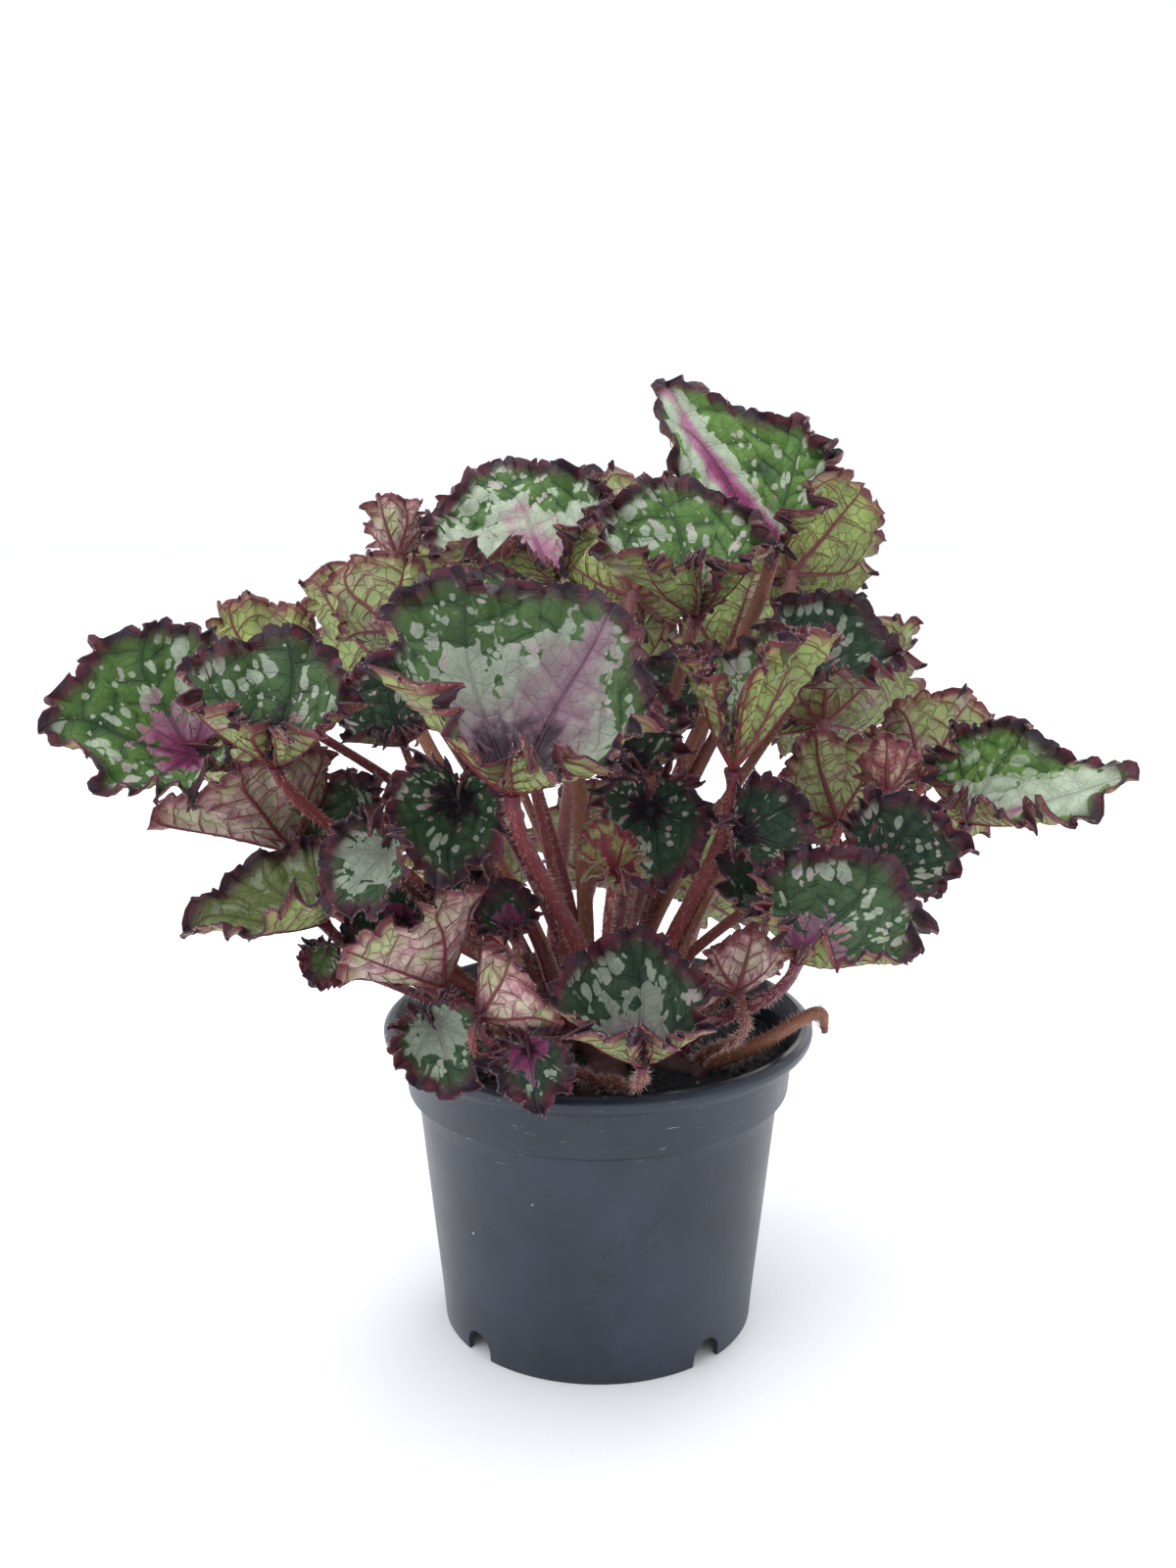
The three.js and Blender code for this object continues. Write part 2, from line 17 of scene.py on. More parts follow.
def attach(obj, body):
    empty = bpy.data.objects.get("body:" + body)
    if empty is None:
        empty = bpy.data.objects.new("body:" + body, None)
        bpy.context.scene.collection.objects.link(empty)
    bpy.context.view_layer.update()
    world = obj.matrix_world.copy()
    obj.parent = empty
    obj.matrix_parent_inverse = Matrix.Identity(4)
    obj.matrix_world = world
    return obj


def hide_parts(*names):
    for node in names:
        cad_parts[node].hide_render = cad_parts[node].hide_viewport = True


bl_info = {
    "name": "Potted Rex Begonia",
    "version": (1, 0, 0),
    "blender": (4, 5, 0),
    "location": "3D View > Sidebar > Begonia",
    "description": "Makes the pot, soil, stalks and leaf blades of a potted rex begonia",
    "category": "Object",
}

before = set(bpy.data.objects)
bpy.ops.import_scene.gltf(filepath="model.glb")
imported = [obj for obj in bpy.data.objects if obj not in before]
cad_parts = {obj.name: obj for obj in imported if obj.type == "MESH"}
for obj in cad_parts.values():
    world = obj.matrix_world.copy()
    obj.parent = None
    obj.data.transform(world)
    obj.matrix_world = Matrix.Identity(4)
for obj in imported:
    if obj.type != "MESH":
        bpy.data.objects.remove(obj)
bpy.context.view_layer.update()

MM = 0.001
TURN = 2 * math.pi
SEED = 20

# ------------------------------------------------------------------ the plant's layout
# Millimetres. These are the model's own numbers, so that every piece lies on its solid.

POT = SimpleNamespace(
    height=103.4,
    rim_radius=70,
    foot_radius=51.5,
    wall=1.6,
    lip_height=5,
    lip_width=5.5,
    lip_round=1.6,
    collar_height=22,
    collar_radius=62.5,
    collar_step=3.6,
    step_height=6,
    floor_height=7,
    well_radius=24,
)
NOTCH = SimpleNamespace(count=4, width=11, height=8.5, depth=8, first_angle=42, inset=2, drop=10)
DRAIN = SimpleNamespace(count=6, radius=3.2, ring_radius=37)
SOIL = SimpleNamespace(edge_height=92, crown=3, gap=0.3, radius=61, rings=60, lumpy=60, strewn=59)
CRUMB = SimpleNamespace(least=0.35, larger=1.5, lift=0.6, uneven=0.3, pale=0.75, pale_share=0.1)

RHIZOME = SimpleNamespace(radius=8, taper=0.3, steps=48, sides=24)
RHIZOME_MIDDLE = (0, -4, 96)
BRANCHES = (
    (-146, (-18, -12, 95), (-33, -28, 91)),
    (-92, (3, -22, 95), (-2, -42, 91)),
    (-34, (17, -15, 95), (35, -26, 91)),
    (42, (14, 10, 95), (27, 26, 91)),
    (136, (-15, 11, 95), (-25, 30, 91)),
)
STALK = SimpleNamespace(
    girth=0.045, thick=2.4, thin=1.4, taper=0.3, highest=150, approach=20, sides=12, fade=0.06,
    skin=1.06, flutes=5, flute_depth=0.05, foot_flare=0.5, top_flare=0.25, knobs=0.03,
)
STALK_SIDEWAYS = np.array([0.2, 1.0, 0.1])
CUT_STALK = ((31, -23, 94.5), (49, -29, 104), (64, -27, 112.5), (69.5, -26, 113.5), (71, -25, 107))

OUTLINE = SimpleNamespace(long=0.12, tip_sharpness=1.4, notch=0.72, notch_spread=0.36)
LOBES = SimpleNamespace(count=7, depth=0.045, soft=0.4, tooth=0.024, tooth_foot=0.82)
RUFFLE = SimpleNamespace(waves=9, small_waves=14, height=0.07, small_share=0.45, onset=3)
# The fine forms that the solid leaves out. An onset is a power of the way out to the margin: the
# higher it is, the closer to the margin the form stays.
CRISP = SimpleNamespace(onset=8, lean=0.42, drawn_in=0.4, finer_share=0.55, evening=18)
FINE_TEETH = SimpleNamespace(spokes=4, start=0.9, onset=1.5, depth=2.3, evening=14, least=0.25)
PUCKER = SimpleNamespace(vein_width=1.7, side_share=0.8, steps_in=5)

USUAL_BLADE = {
    "cup": 14,
    "lip": 60,
    "fold": 8,
    "curl": 14,
    "point": 0.12,
    "tip_width": 0.36,
    "lopsided": 0.13,
    "wide": 1,
    "rise": 0.4,
    "bow": (0, 0, -8),
}

# Each row: name, where the stalk joins, where the tip is, which way the upper side looks, its
# own form and its coat.
BLADE_ROWS = (
    # middle of the front
    ("main", (-24, -78, 197), (5, -46, 246), (-0.15, -0.85, 0.5), {"lopsided": 0.24}, "silver"),
    ("crown_silver", (-13, 10, 244), (-35, 36, 282), (0, -0.9, 0.45), {}, "silver_pink"),
    ("crown_green", (30, -14, 237), (19, 8, 279), (0.1, -0.85, 0.5),
     {"lip": 80, "bow": (-4, 12, -8)}, "spotted"),
    ("crown_small", (-27, -36, 227), (-32, -22, 254), (0, -0.9, 0.5), {}, "small_silver"),
    ("mid_hanging", (-40, -56, 190), (-42, -78, 170), (0, -0.7, 0.7), {"wide": -1}, "dark_ringed"),
    ("mid_silver", (-58, -78, 180), (-74, -92, 167), (-0.25, -0.6, 0.35),
     {"bow": (-7, -3, -8)}, "all_silver"),
    ("mid_dark_left", (-69, -26, 168), (-82, -11, 188), (-0.25, -0.7, 0.15),
     {"bow": (4, 5, -6)}, "dark_ringed"),
    ("left_shadow", (-60, -16, 198), (-70, -6, 224), (0.1, -0.9, 0.3), {}, "dark"),
    ("mid_hanging_right", (14, -40, 184), (20, -62, 164), (0.1, -0.7, 0.7), {"wide": -1}, "dark"),
    ("mid_new_red", (4, -72, 172), (-2, -74, 189), (0.3, -0.8, 0.3),
     {"cup": 34, "lip": 10, "bow": (0, 16, -10)}, "young"),
    ("mid_shadow", (10, -24, 190), (4, -14, 224), (0, -0.9, 0.4), {}, "dark"),
    ("mid_deep_right", (25, 11, 197), (30, 25, 222), (-0.2, -0.75, 0.55),
     {"bow": (5, -3, -12)}, "dark"),
    ("low_pink_spot", (-25, -48, 147), (-29, -42, 163), (0, -0.9, 0.4), {}, "dark_pink"),
    ("bottom_center", (12, -80, 119), (11, -61, 154), (0, -0.9, 0.6),
     {"lip": 80, "bow": (2, 2, -6)}, "dark_patched"),
    ("low_center_under", (-34, -76, 131), (-10, -86, 135), (0.1, 0.8, 0.5), {"wide": -1}, "pale"),
    ("rim_silver", (-47, -66, 126), (-40, -82, 108), (-0.1, -0.7, 0.2),
     {"rise": 1, "bow": (8, -3, -5)}, "all_silver"),
    ("rim_dark", (-20, -75, 122), (-17, -88, 107), (-0.1, -1.1, 0.25),
     {"bow": (2, -1, -13)}, "dark_pink"),
    # left
    ("left_spotted", (-91, -62, 201), (-86, -42, 238), (0, -0.9, 0.45),
     {"lip": 80}, "shaded_heart"),
    ("far_left", (-122, -28, 196), (-159, -52, 214), (-0.1, -0.75, 0.65),
     {"wide": -1, "rise": 0.8, "bow": (4, 14, 6)}, "pink_base"),
    ("left_fan_under", (-66, 16, 228), (-86, 27, 247), (-0.3, 0.85, 0.4), {}, "olive"),
    ("left_burgundy", (-44, 44, 246), (-47, 52, 273), (0, 0.9, 0.4),
     {"cup": 30, "lip": 20}, "young"),
    ("left_curl", (-67, 42, 249), (-74, 46, 270), (0, 0.9, 0.4),
     {"cup": 40, "lip": 5, "bow": (8, 16, -8)}, "pale"),
    ("left_back_under", (-104, -4, 212), (-117, 6, 240), (-0.2, 0.85, 0.4), {"rise": 0.7}, "lime"),
    ("left_brown_under", (-92, -36, 169), (-130, -48, 185), (-0.2, 0.35, 0.9), {}, "brown"),
    ("left_yellow", (-80, -56, 153), (-118, -70, 159), (-0.2, -0.25, 0.9),
     {"bow": (6, 10, -4)}, "yellow"),
    ("left_tiny", (-79, -55, 145), (-83, -61, 134), (-0.1, -0.9, 0.3),
     {"bow": (-2, -4, -13)}, "spotted"),
    ("low_left_under", (-45, -64, 136), (-70, -86, 156), (-0.3, 0.5, 0.8), {}, "pale"),
    ("low_left_dark", (-57, -47, 150), (-73, -53, 164), (-0.15, -1.05, 0.3),
     {"bow": (-4, 10, -10)}, "dark_pink"),
    ("low_left_fan", (-41, -32, 149), (-43, -29, 165), (0.05, -0.85, 0.3),
     {"bow": (2, 6, -10)}, "dark"),
    # right
    ("top_right", (56, 26, 252), (19, 50, 309), (0, -0.95, 0.35),
     {"wide": -1, "lopsided": 0.24, "point": 0.44, "tip_width": 0.3, "bow": (0, 6, -8)}, "streaked"),
    ("top_right_under", (66, 54, 242), (93, 68, 273), (0.2, 0.85, 0.4), {}, "lime"),
    ("right_cup", (38, -54, 198), (52, -14, 232), (-0.1, -0.45, 0.9),
     {"wide": -1, "cup": 30, "lip": 40, "fold": 16, "bow": (5, 5, -8)}, "cupped"),
    ("right_behind_cup", (65, 18, 210), (84, 36, 239), (0.1, -0.8, 0.5), {"wide": -1}, "dark"),
    ("right_olive_under", (76, -6, 170), (66, 2, 198), (-0.1, 0.9, 0.3), {"lip": 25}, "olive"),
    ("right_new_red", (88, -24, 184), (87, -20, 202), (0, 0.9, 0.2),
     {"cup": 30, "lip": 15}, "young"),
    ("right_dark_spotted", (84, -32, 160), (110, -45, 171), (0, -0.7, 0.7), {}, "dark"),
    ("far_right", (115, -12, 172), (165, -26, 190), (-0.1, -0.5, 0.85),
     {"point": 0.36, "tip_width": 0.28, "fold": 22, "lip": 30}, "patched"),
    ("right_round_tip", (107, 22, 178), (127, 34, 206), (0.1, 0.8, 0.5),
     {"bow": (2, 14, -6)}, "olive"),
    ("right_dark_inner", (40, -50, 178), (62, -60, 174), (0, -0.7, 0.7), {}, "dark"),
    ("right_pink_heart", (55, -78, 149), (82, -62, 176), (-0.1, -0.75, 0.6),
     {"wide": -1}, "shaded_pink"),
    ("right_lipped", (49, -51, 152), (51, -45, 178), (0.05, -0.8, 0.45),
     {"lip": 80, "bow": (6, 9, -6)}, "dark_patched"),
    ("right_low_under", (41, -52, 130), (45, -50, 150), (0, 0.9, 0.45),
     {"bow": (7, -4, -8)}, "pale"),
    # back
    ("back_top", (12, 58, 234), (0, 84, 276), (0, 0.9, 0.45), {}, "silver_pink"),
    ("back_left", (-64, 56, 200), (-104, 82, 236), (-0.4, 0.75, 0.5), {}, "spotted"),
    ("back_right", (80, 64, 188), (118, 92, 218), (0.4, 0.75, 0.5), {}, "silver"),
    ("back_mid", (-6, 84, 182), (-16, 112, 234), (0, 0.85, 0.5), {}, "silver"),
    ("back_crown_left", (-33, 83, 225), (-48, 111, 253), (-0.15, 1.2, 0.8),
     {"bow": (6, -3, -5)}, "red_heart"),
    ("back_crown_right", (46, 84, 208), (58, 104, 240), (0.2, 0.85, 0.45), {}, "spotted"),
    ("back_low_left", (-42, 72, 124), (-64, 90, 158), (-0.3, 0.9, 0.3), {}, "small_silver"),
    ("back_low_right", (38, 72, 122), (60, 90, 156), (0.3, 0.9, 0.3), {}, "red_heart"),
    ("back_low_mid", (-2, 78, 126), (-5, 88, 164), (0, 0.9, 0.2), {}, "dark"),
    ("side_left", (-108, 30, 164), (-144, 44, 180), (-0.4, 0.5, 0.8), {}, "spotted"),
    ("side_right", (104, 40, 142), (140, 56, 158), (0.4, 0.5, 0.8), {}, "small_silver"),
)

# A coat says how far each colour reaches from the stalk, as a share of the way to the margin
# (silver, pink, heart), how broadly pink follows the midrib as a share of its length (stripe), and
# how far to the side of the midrib the silver goes (band, mm). The rest are strengths from 0 to 1:
# spots; light green, which is painted light on a leaf that stood in light; blush below; the red of a
# young leaf; and dusk, painted shade that greys and darkens a leaf which stood in shade. Past 1,
# the painted light turns a leaf lime.
USUAL_COAT = {
    "silver": 0.0,
    "pink": 0.0,
    "heart": 0.12,
    "stripe": 0.0,
    "band": 200,
    "spots": 1.0,
    "light": 0.6,
    "blush": 0.2,
    "young": 0.0,
    "dusk": 0.15,
}
# The dark coats paint leaves that stand in shade deep in the plant: their low light and high dusk
# are painted shade.
COATS = {
    "silver": {"silver": 0.7, "pink": 0.5, "stripe": 0.4, "heart": 0.34, "spots": 0.9, "dusk": 0.5},
    "silver_pink": {"silver": 0.75, "pink": 0.46, "heart": 0.0, "dusk": 0.0},
    "small_silver": {"silver": 0.44, "pink": 0.22, "heart": 0.2},
    "all_silver": {"silver": 0.54, "heart": 0.0, "light": 0.3, "dusk": 0.55},
    "spotted": {"pink": 0.1, "light": 0.85},
    "dark": {"heart": 0.3, "light": 0.1, "blush": 0.4, "dusk": 0.9},
    "dark_ringed": {"heart": 0.36, "light": 0.25, "blush": 0.4, "dusk": 0.7},
    "dark_pink": {"silver": 0.4, "pink": 0.9, "heart": 0.2, "light": 0.1, "blush": 0.6, "dusk": 0.8},
    "dark_patched": {"silver": 0.44, "pink": 0.36, "heart": 0.24, "light": 0.15, "dusk": 0.75},
    "red_heart": {"heart": 0.4, "light": 0.8, "pink": 0.12},
    "shaded_heart": {"heart": 0.4, "light": 0.5, "pink": 0.12, "dusk": 0.4},
    "shaded_pink": {"silver": 0.36, "pink": 0.6, "heart": 0.1, "light": 0.35, "dusk": 0.5},
    "pink_base": {"silver": 0.36, "pink": 0.6, "heart": 0.0, "light": 0.75},
    "streaked": {"silver": 1.2, "pink": 0.95, "heart": 0.0, "band": 3, "light": 0.95, "dusk": 0.0},
    "cupped": {"silver": 0.3, "pink": 0.1, "heart": 0.35, "light": 0.7, "blush": 0.1, "dusk": 0.3},
    "patched": {"silver": 0.8, "pink": 0.3, "heart": 0.0, "band": 11, "light": 1.1, "spots": 0.7,
                "dusk": 0.0},
    "olive": {"light": 0.5, "blush": 0.3, "dusk": 0.5},
    "lime": {"light": 0.7, "blush": 0.05},
    "pale": {"silver": 0.3, "pink": 0.3, "blush": 0.6},
    "brown": {"light": 0.3, "blush": 0.6, "young": 0.1, "dusk": 0.6},
    "yellow": {"silver": 0.2, "spots": 0.5, "light": 1.5, "blush": 0.2},
    "young": {"light": 0.3, "blush": 0.7, "young": 0.75},
}

# How finely a blade is made, by the length of its midrib in mm. Each has the solid's number of
# coarse teeth, and its own side veins, waves of the margin, spokes and rings.
GRADES = (
    SimpleNamespace(longest=28, fineness=5, side_veins=4, crisps=15, spokes=168, rings=15),
    SimpleNamespace(longest=48, fineness=7, side_veins=5, crisps=22, spokes=252, rings=21),
    SimpleNamespace(longest=200, fineness=9, side_veins=6, crisps=30, spokes=360, rings=28),
)


def hashed(value):
    """A repeatable number from 0 to 1 for each value."""
    wild = np.sin(value) * 43758.5453
    return wild - np.floor(wild)


def chance(seed, index):
    """A repeatable number from 0 to 1 for each pair of seeds."""
    return hashed(seed * 12.9898 + index * 78.233)


def seed_of(name):
    return sum(ord(letter) * (place + 1) for place, letter in enumerate(name))


def blade_from(row, settings):
    """A row of the layout with all that follows from it and from the settings."""
    name, at, tip, face, form, coat = row
    blade = SimpleNamespace(**{**USUAL_BLADE, **form})
    blade.name = name
    blade.at = Vector(at)
    blade.tip = Vector(tip)
    blade.face = Vector(face)
    blade.coat = SimpleNamespace(**{**USUAL_COAT, **COATS[coat]})
    blade.length = (blade.tip - blade.at).length
    blade.seed = seed_of(name)
    blade.grade = next(grade for grade in GRADES if blade.length <= grade.longest)
    coarser = 1
    blade.spokes = blade.grade.spokes // coarser
    blade.rings = blade.grade.rings // coarser
    blade.fine_crisps = blade.grade.crisps * 3 // 2 + 1
    blade.crispness = settings.crisp / MM / (blade.length + CRISP.evening)
    blade.puckers = settings.pucker / MM * min(1.0, blade.length / 50)
    blade.matrix = blade_matrix(blade)
    return blade


# ------------------------------------------------------------------ the form of a blade


def outline_reach(blade, turn):
    """How far the outline is from the stalk. turn is 0 towards the tip and pi at the notch."""
    towards_tip = np.exp(-((np.abs(turn) / blade.tip_width) ** OUTLINE.tip_sharpness))
    towards_notch = np.exp(-(((np.pi - np.abs(turn)) / OUTLINE.notch_spread) ** 2))
    sides = 1 - OUTLINE.long - blade.point
    whole = sides + OUTLINE.long * np.cos(turn) + blade.point * towards_tip
    lopsided = 1 + blade.lopsided * blade.wide * np.sin(turn)
    lobes = 1 + LOBES.soft * LOBES.depth * np.cos(LOBES.count * turn)
    return whole * lopsided * lobes * (1 - OUTLINE.notch * towards_notch)


def bent(blade, turn, share, toothed, ripple):
    """Points of the blade in its own frame: tip along +x, upper side along +z."""
    towards_base = ((1 - np.cos(turn)) / 2) ** 1.5
    sideways = np.sin(turn) ** 2
    rise = blade.lip * 0.5 * towards_base
    start = np.radians(blade.cup + rise + blade.fold * sideways)
    bend = np.radians(blade.curl + rise + blade.fold * 0.5 * sideways) + 1e-4
    reach = outline_reach(blade, turn) * (1 + toothed)
    slope = start + bend * share
    out = reach * (np.sin(slope) - np.sin(start)) / bend
    up = reach * (np.cos(start) - np.cos(slope)) / bend
    radius = out - np.sin(slope) * ripple
    height = up + np.cos(slope) * ripple
    swung = turn + gather(blade, turn, share)
    return np.stack([np.cos(swung) * radius, np.sin(swung) * radius, height], axis=-1)


def blade_matrix(blade):
    """Turns and sizes a blade's own frame so that it reaches from its stalk to its tip."""
    none = np.zeros(1)
    chord = bent(blade, none, none + 1, 0, 0)[0]
    along = (blade.tip - blade.at).normalized()
    face = (blade.face - along * blade.face.dot(along)).normalized()
    across = face.cross(along)
    basis = Matrix((along, across, face)).transposed()
    lift = Matrix.Rotation(math.atan2(chord[2], chord[0]), 3, "Y")
    return np.array(basis @ lift) * (blade.length / np.linalg.norm(chord))


def teeth(blade, turn, share):
    """How far the margin stands in or out: the solid's lobes, and fine uneven teeth."""
    coarse_step = (turn + np.pi) / TURN * blade.grade.fineness * 4
    coarse = -0.45 * np.cos(np.pi * coarse_step)
    coarse_ramp = np.clip((share - LOBES.tooth_foot) / (1 - LOBES.tooth_foot), 0, 1)
    fine_step = (turn + np.pi) / TURN * blade.spokes / FINE_TEETH.spokes
    cell = np.floor(fine_step + 1e-6)
    height = FINE_TEETH.least + (1 - FINE_TEETH.least) * hashed(cell * 12.9898 + blade.seed)
    fine = 1 - np.abs(2 * (fine_step - cell) - 1)
    past_start = np.clip((share - FINE_TEETH.start) / (1 - FINE_TEETH.start), 0, 1)
    deepest = FINE_TEETH.depth / (blade.length + FINE_TEETH.evening)
    folded = 0.5 * (1 - np.cos(2 * crisp_phase(blade, turn))) * crisping(blade, share)
    bitten = (fine * height - 0.3) * deepest * past_start**FINE_TEETH.onset
    return coarse * LOBES.tooth * coarse_ramp + bitten - CRISP.drawn_in * folded


def crisping(blade, share):
    """How strong the fine folds are on the way out to the margin."""
    return share**CRISP.onset * blade.crispness


def crisp_phase(blade, turn):
    """How far round the folds of the margin have come at each turn."""
    uneven = 0.9 * np.sin(3 * turn + blade.seed) + 0.7 * np.sin(5 * turn - blade.seed)
    return blade.grade.crisps * turn + uneven + 6 * chance(blade.seed, 3)


def gather(blade, turn, share):
    """How far the folds of the margin lean over sideways, so that they bunch and overlap."""
    sway = np.sin(2 * crisp_phase(blade, turn)) + 0.5 * np.sin(crisp_phase(blade, turn) + 1)
    return CRISP.lean * sway * crisping(blade, share)


def ripple(blade, turn, share):
    """The ruffle: the solid's waves, and the crisping of the margin."""
    broad = np.sin(RUFFLE.waves * turn + 6 * chance(blade.seed, 1))
    broad += RUFFLE.small_share * np.sin(RUFFLE.small_waves * turn + 6 * chance(blade.seed, 2))
    loose = 0.75 + 0.35 * np.sin(4 * turn + 2 * blade.seed)
    crisp = np.sin(crisp_phase(blade, turn))
    crisp += CRISP.finer_share * np.sin(blade.fine_crisps * turn + 6 * chance(blade.seed, 4))
    return RUFFLE.height * broad * share**RUFFLE.onset + loose * crisp * crisping(blade, share)


def vein_place(blade, turn, share):
    """Which main vein a point lies along, and how far out in steps from side vein to side vein."""
    sway = 0.09 * np.sin(2 * turn + 5 * share + blade.seed) + 0.05 * np.sin(3 * turn - 8 * share)
    sector = turn * LOBES.count / TURN + LOBES.count / 2 + sway * share
    step = share * blade.grade.side_veins + 0.16 * np.sin(5 * turn + blade.seed) * share
    return sector, step


BRANCHING = 1.9  # twice the steps that a side vein climbs on its way to the next sector


def pucker(blade, turn, share):
    """Height in mm of the cushions between the veins."""
    sector, step = vein_place(blade, turn, share)
    apart = np.abs(sector % 1 - 0.5)
    radius = outline_reach(blade, turn) * share * blade.length
    main = apart * TURN / LOBES.count * radius
    rung = step - apart * BRANCHING + 0.5 * (sector % 1 > 0.5)
    spacing = blade.length / blade.grade.side_veins * PUCKER.side_share
    gap = np.minimum(main, np.abs(rung % 1 - 0.5) * spacing)
    crown = 1 - np.exp(-((gap / PUCKER.vein_width) ** 2))
    return blade.puckers * crown * np.clip(share * PUCKER.steps_in, 0, 1)


def blade_points(blade, turn, share):
    """Places in mm in the plant's frame, before the pucker."""
    form = bent(blade, turn, share, teeth(blade, turn, share), ripple(blade, turn, share))
    return form @ blade.matrix.T + np.array(blade.at)


def blade_surface(blade, turn, share):
    """Places in mm and the directions in which the upper side looks there."""
    near = np.maximum(share, 0.02)
    small = 0.004
    here = blade_points(blade, turn, near)
    outwards = here - blade_points(blade, turn, near - small)
    round_about = blade_points(blade, turn + small, near) - blade_points(blade, turn - small, near)
    looks = np.cross(outwards, round_about)
    looks /= np.linalg.norm(looks, axis=-1, keepdims=True) + 1e-12
    return blade_points(blade, turn, share), looks


# ------------------------------------------------------------------ making and finishing pieces


def deselect():
    bpy.ops.object.select_all(action="DESELECT")


def coordinates(mesh):
    flat = np.empty(len(mesh.vertices) * 3)
    mesh.vertices.foreach_get("co", flat)
    return flat.reshape(-1, 3)


def set_coordinates(mesh, points):
    mesh.vertices.foreach_set("co", np.ascontiguousarray(points, dtype=np.float64).ravel())
    mesh.update()


def apply_modifier(piece, kind, **settings):
    modifier = piece.modifiers.new(kind.lower(), kind)
    for key, value in settings.items():
        setattr(modifier, key, value)
    bpy.context.view_layer.objects.active = piece
    bpy.ops.object.modifier_apply(modifier=modifier.name)


def choose(piece):
    """Makes a piece the active one and the only one selected."""
    deselect()
    piece.select_set(True)
    bpy.context.view_layer.objects.active = piece


def edit(piece, *steps):
    """Runs steps in edit mode, with all of the piece selected."""
    choose(piece)
    bpy.ops.object.mode_set(mode="EDIT")
    bpy.ops.mesh.select_all(action="SELECT")
    for step in steps:
        step()
    bpy.ops.object.mode_set(mode="OBJECT")


def merge_doubles():
    bpy.ops.mesh.remove_doubles(threshold=0.002 * MM)


def face_outwards():
    bpy.ops.mesh.normals_make_consistent(inside=False)


def joined(main, others):
    choose(main)
    for other in others:
        other.select_set(True)
    bpy.ops.object.join()
    return main


def finished(piece, name, slot, *nodes):
    """Names a piece, smooths it and ties it to the frame."""
    choose(piece)
    bpy.ops.object.transform_apply(location=True, rotation=True, scale=True)
    bpy.ops.object.shade_smooth_by_angle(angle=math.radians(50))
    piece.name = name
    piece.data.name = name
    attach(piece, "root")
    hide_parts(*nodes)


def from_arrays(name, points, faces, material):
    """An object from places in mm."""
    mesh = bpy.data.meshes.new(name)
    mesh.from_pydata((np.asarray(points) * MM).tolist(), [], [list(face) for face in faces])
    mesh.materials.append(material)
    made = bpy.data.objects.new(name, mesh)
    bpy.context.collection.objects.link(made)
    return made


def point_colours(mesh, name, values):
    """A colour attribute with one row of four numbers for each vertex."""
    layer = mesh.attributes.new(name, "FLOAT_COLOR", "POINT")
    layer.data.foreach_set("color", np.ascontiguousarray(values, dtype=np.float32).ravel())


def uv_map(mesh, name, values):
    """A UV map from one pair of numbers for each vertex."""
    corners = np.empty(len(mesh.loops), dtype=np.int32)
    mesh.loops.foreach_get("vertex_index", corners)
    layer = mesh.uv_layers.new(name=name)
    layer.data.foreach_set("uv", np.ascontiguousarray(values[corners], dtype=np.float32).ravel())


def unit(vectors):
    return vectors / (np.linalg.norm(vectors, axis=-1, keepdims=True) + 1e-12)


def pattern(made):
    """The places and faces of a primitive that is to be copied, which is then removed."""
    places = coordinates(made.data)
    sides = [list(face.vertices) for face in made.data.polygons]
    bpy.data.objects.remove(made)
    return places, sides


def hairs(name, roots, ways, lengths, width, material):
    """One three-sided spike, copied onto every root, pointing its own way. All in mm."""
    deselect()
    bpy.ops.mesh.primitive_cone_add(vertices=3, radius1=1, radius2=0, depth=1)
    spike, sides = pattern(bpy.context.object)
    spike = spike + np.array([0, 0, 0.5])
    ways = unit(ways)
    across = unit(np.cross(ways, np.array([0.31, 0.83, 0.46])))
    beside = np.cross(across, ways)
    points = roots[:, None, :] + (
        across[:, None, :] * spike[None, :, 0:1] * width
        + beside[:, None, :] * spike[None, :, 1:2] * width
        + ways[:, None, :] * spike[None, :, 2:3] * lengths[:, None, None]
    )
    faces = []
    for base in range(0, len(roots) * len(spike), len(spike)):
        faces += [[corner + base for corner in side] for side in sides]
    return from_arrays(name, points.reshape(-1, 3), faces, material)


def tube(places, ups, radii, sides, base):
    """The points of a closed tube in rings, and its faces where base points come before it."""
    ahead = unit(np.gradient(places, axis=0))
    beside = unit(np.cross(ahead, ups))
    above = np.cross(beside, ahead)
    angles = (TURN * np.arange(sides) / sides)[None, :, None]
    spokes = above[:, None] * np.cos(angles) + beside[:, None] * np.sin(angles)
    points = places[:, None] + spokes * radii[..., None]
    faces = []
    last = base + (len(places) - 1) * sides
    for here in range(base, last, sides):
        for side in range(sides):
            after = (side + 1) % sides
            faces.append((here + side, here + after, here + sides + after, here + sides + side))
    faces.append([base + side for side in reversed(range(sides))])
    faces.append([last + side for side in range(sides)])
    return points.reshape(-1, 3), faces


def rods(name, paths, sides, material):
    """Closed tubes along paths of (places, upward directions, radii), in mm. A radius is one
    number for each place, or a row of them, one to each side."""
    points = []
    faces = []
    for places, ups, radii in paths:
        radii = radii if radii.ndim == 2 else np.repeat(radii[:, None], sides, axis=1)
        more, sheet = tube(places, ups, radii, sides, len(points))
        points.extend(more)
        faces += sheet
    made = from_arrays(name, points, faces, material)
    edit(made, face_outwards)
    return made


# ------------------------------------------------------------------ materials


def srgb(code):
    """The red, green and blue of an sRGB code such as #35602f, from 0 to 1."""
    return [int(code[place : place + 2], 16) / 255 for place in (1, 3, 5)]


def colour(code):
    """A linear colour with alpha from an sRGB code."""
    linear = []
    for part in srgb(code):
        linear.append(part / 12.92 if part <= 0.04045 else ((part + 0.055) / 1.055) ** 2.4)
    return (*linear, 1.0)


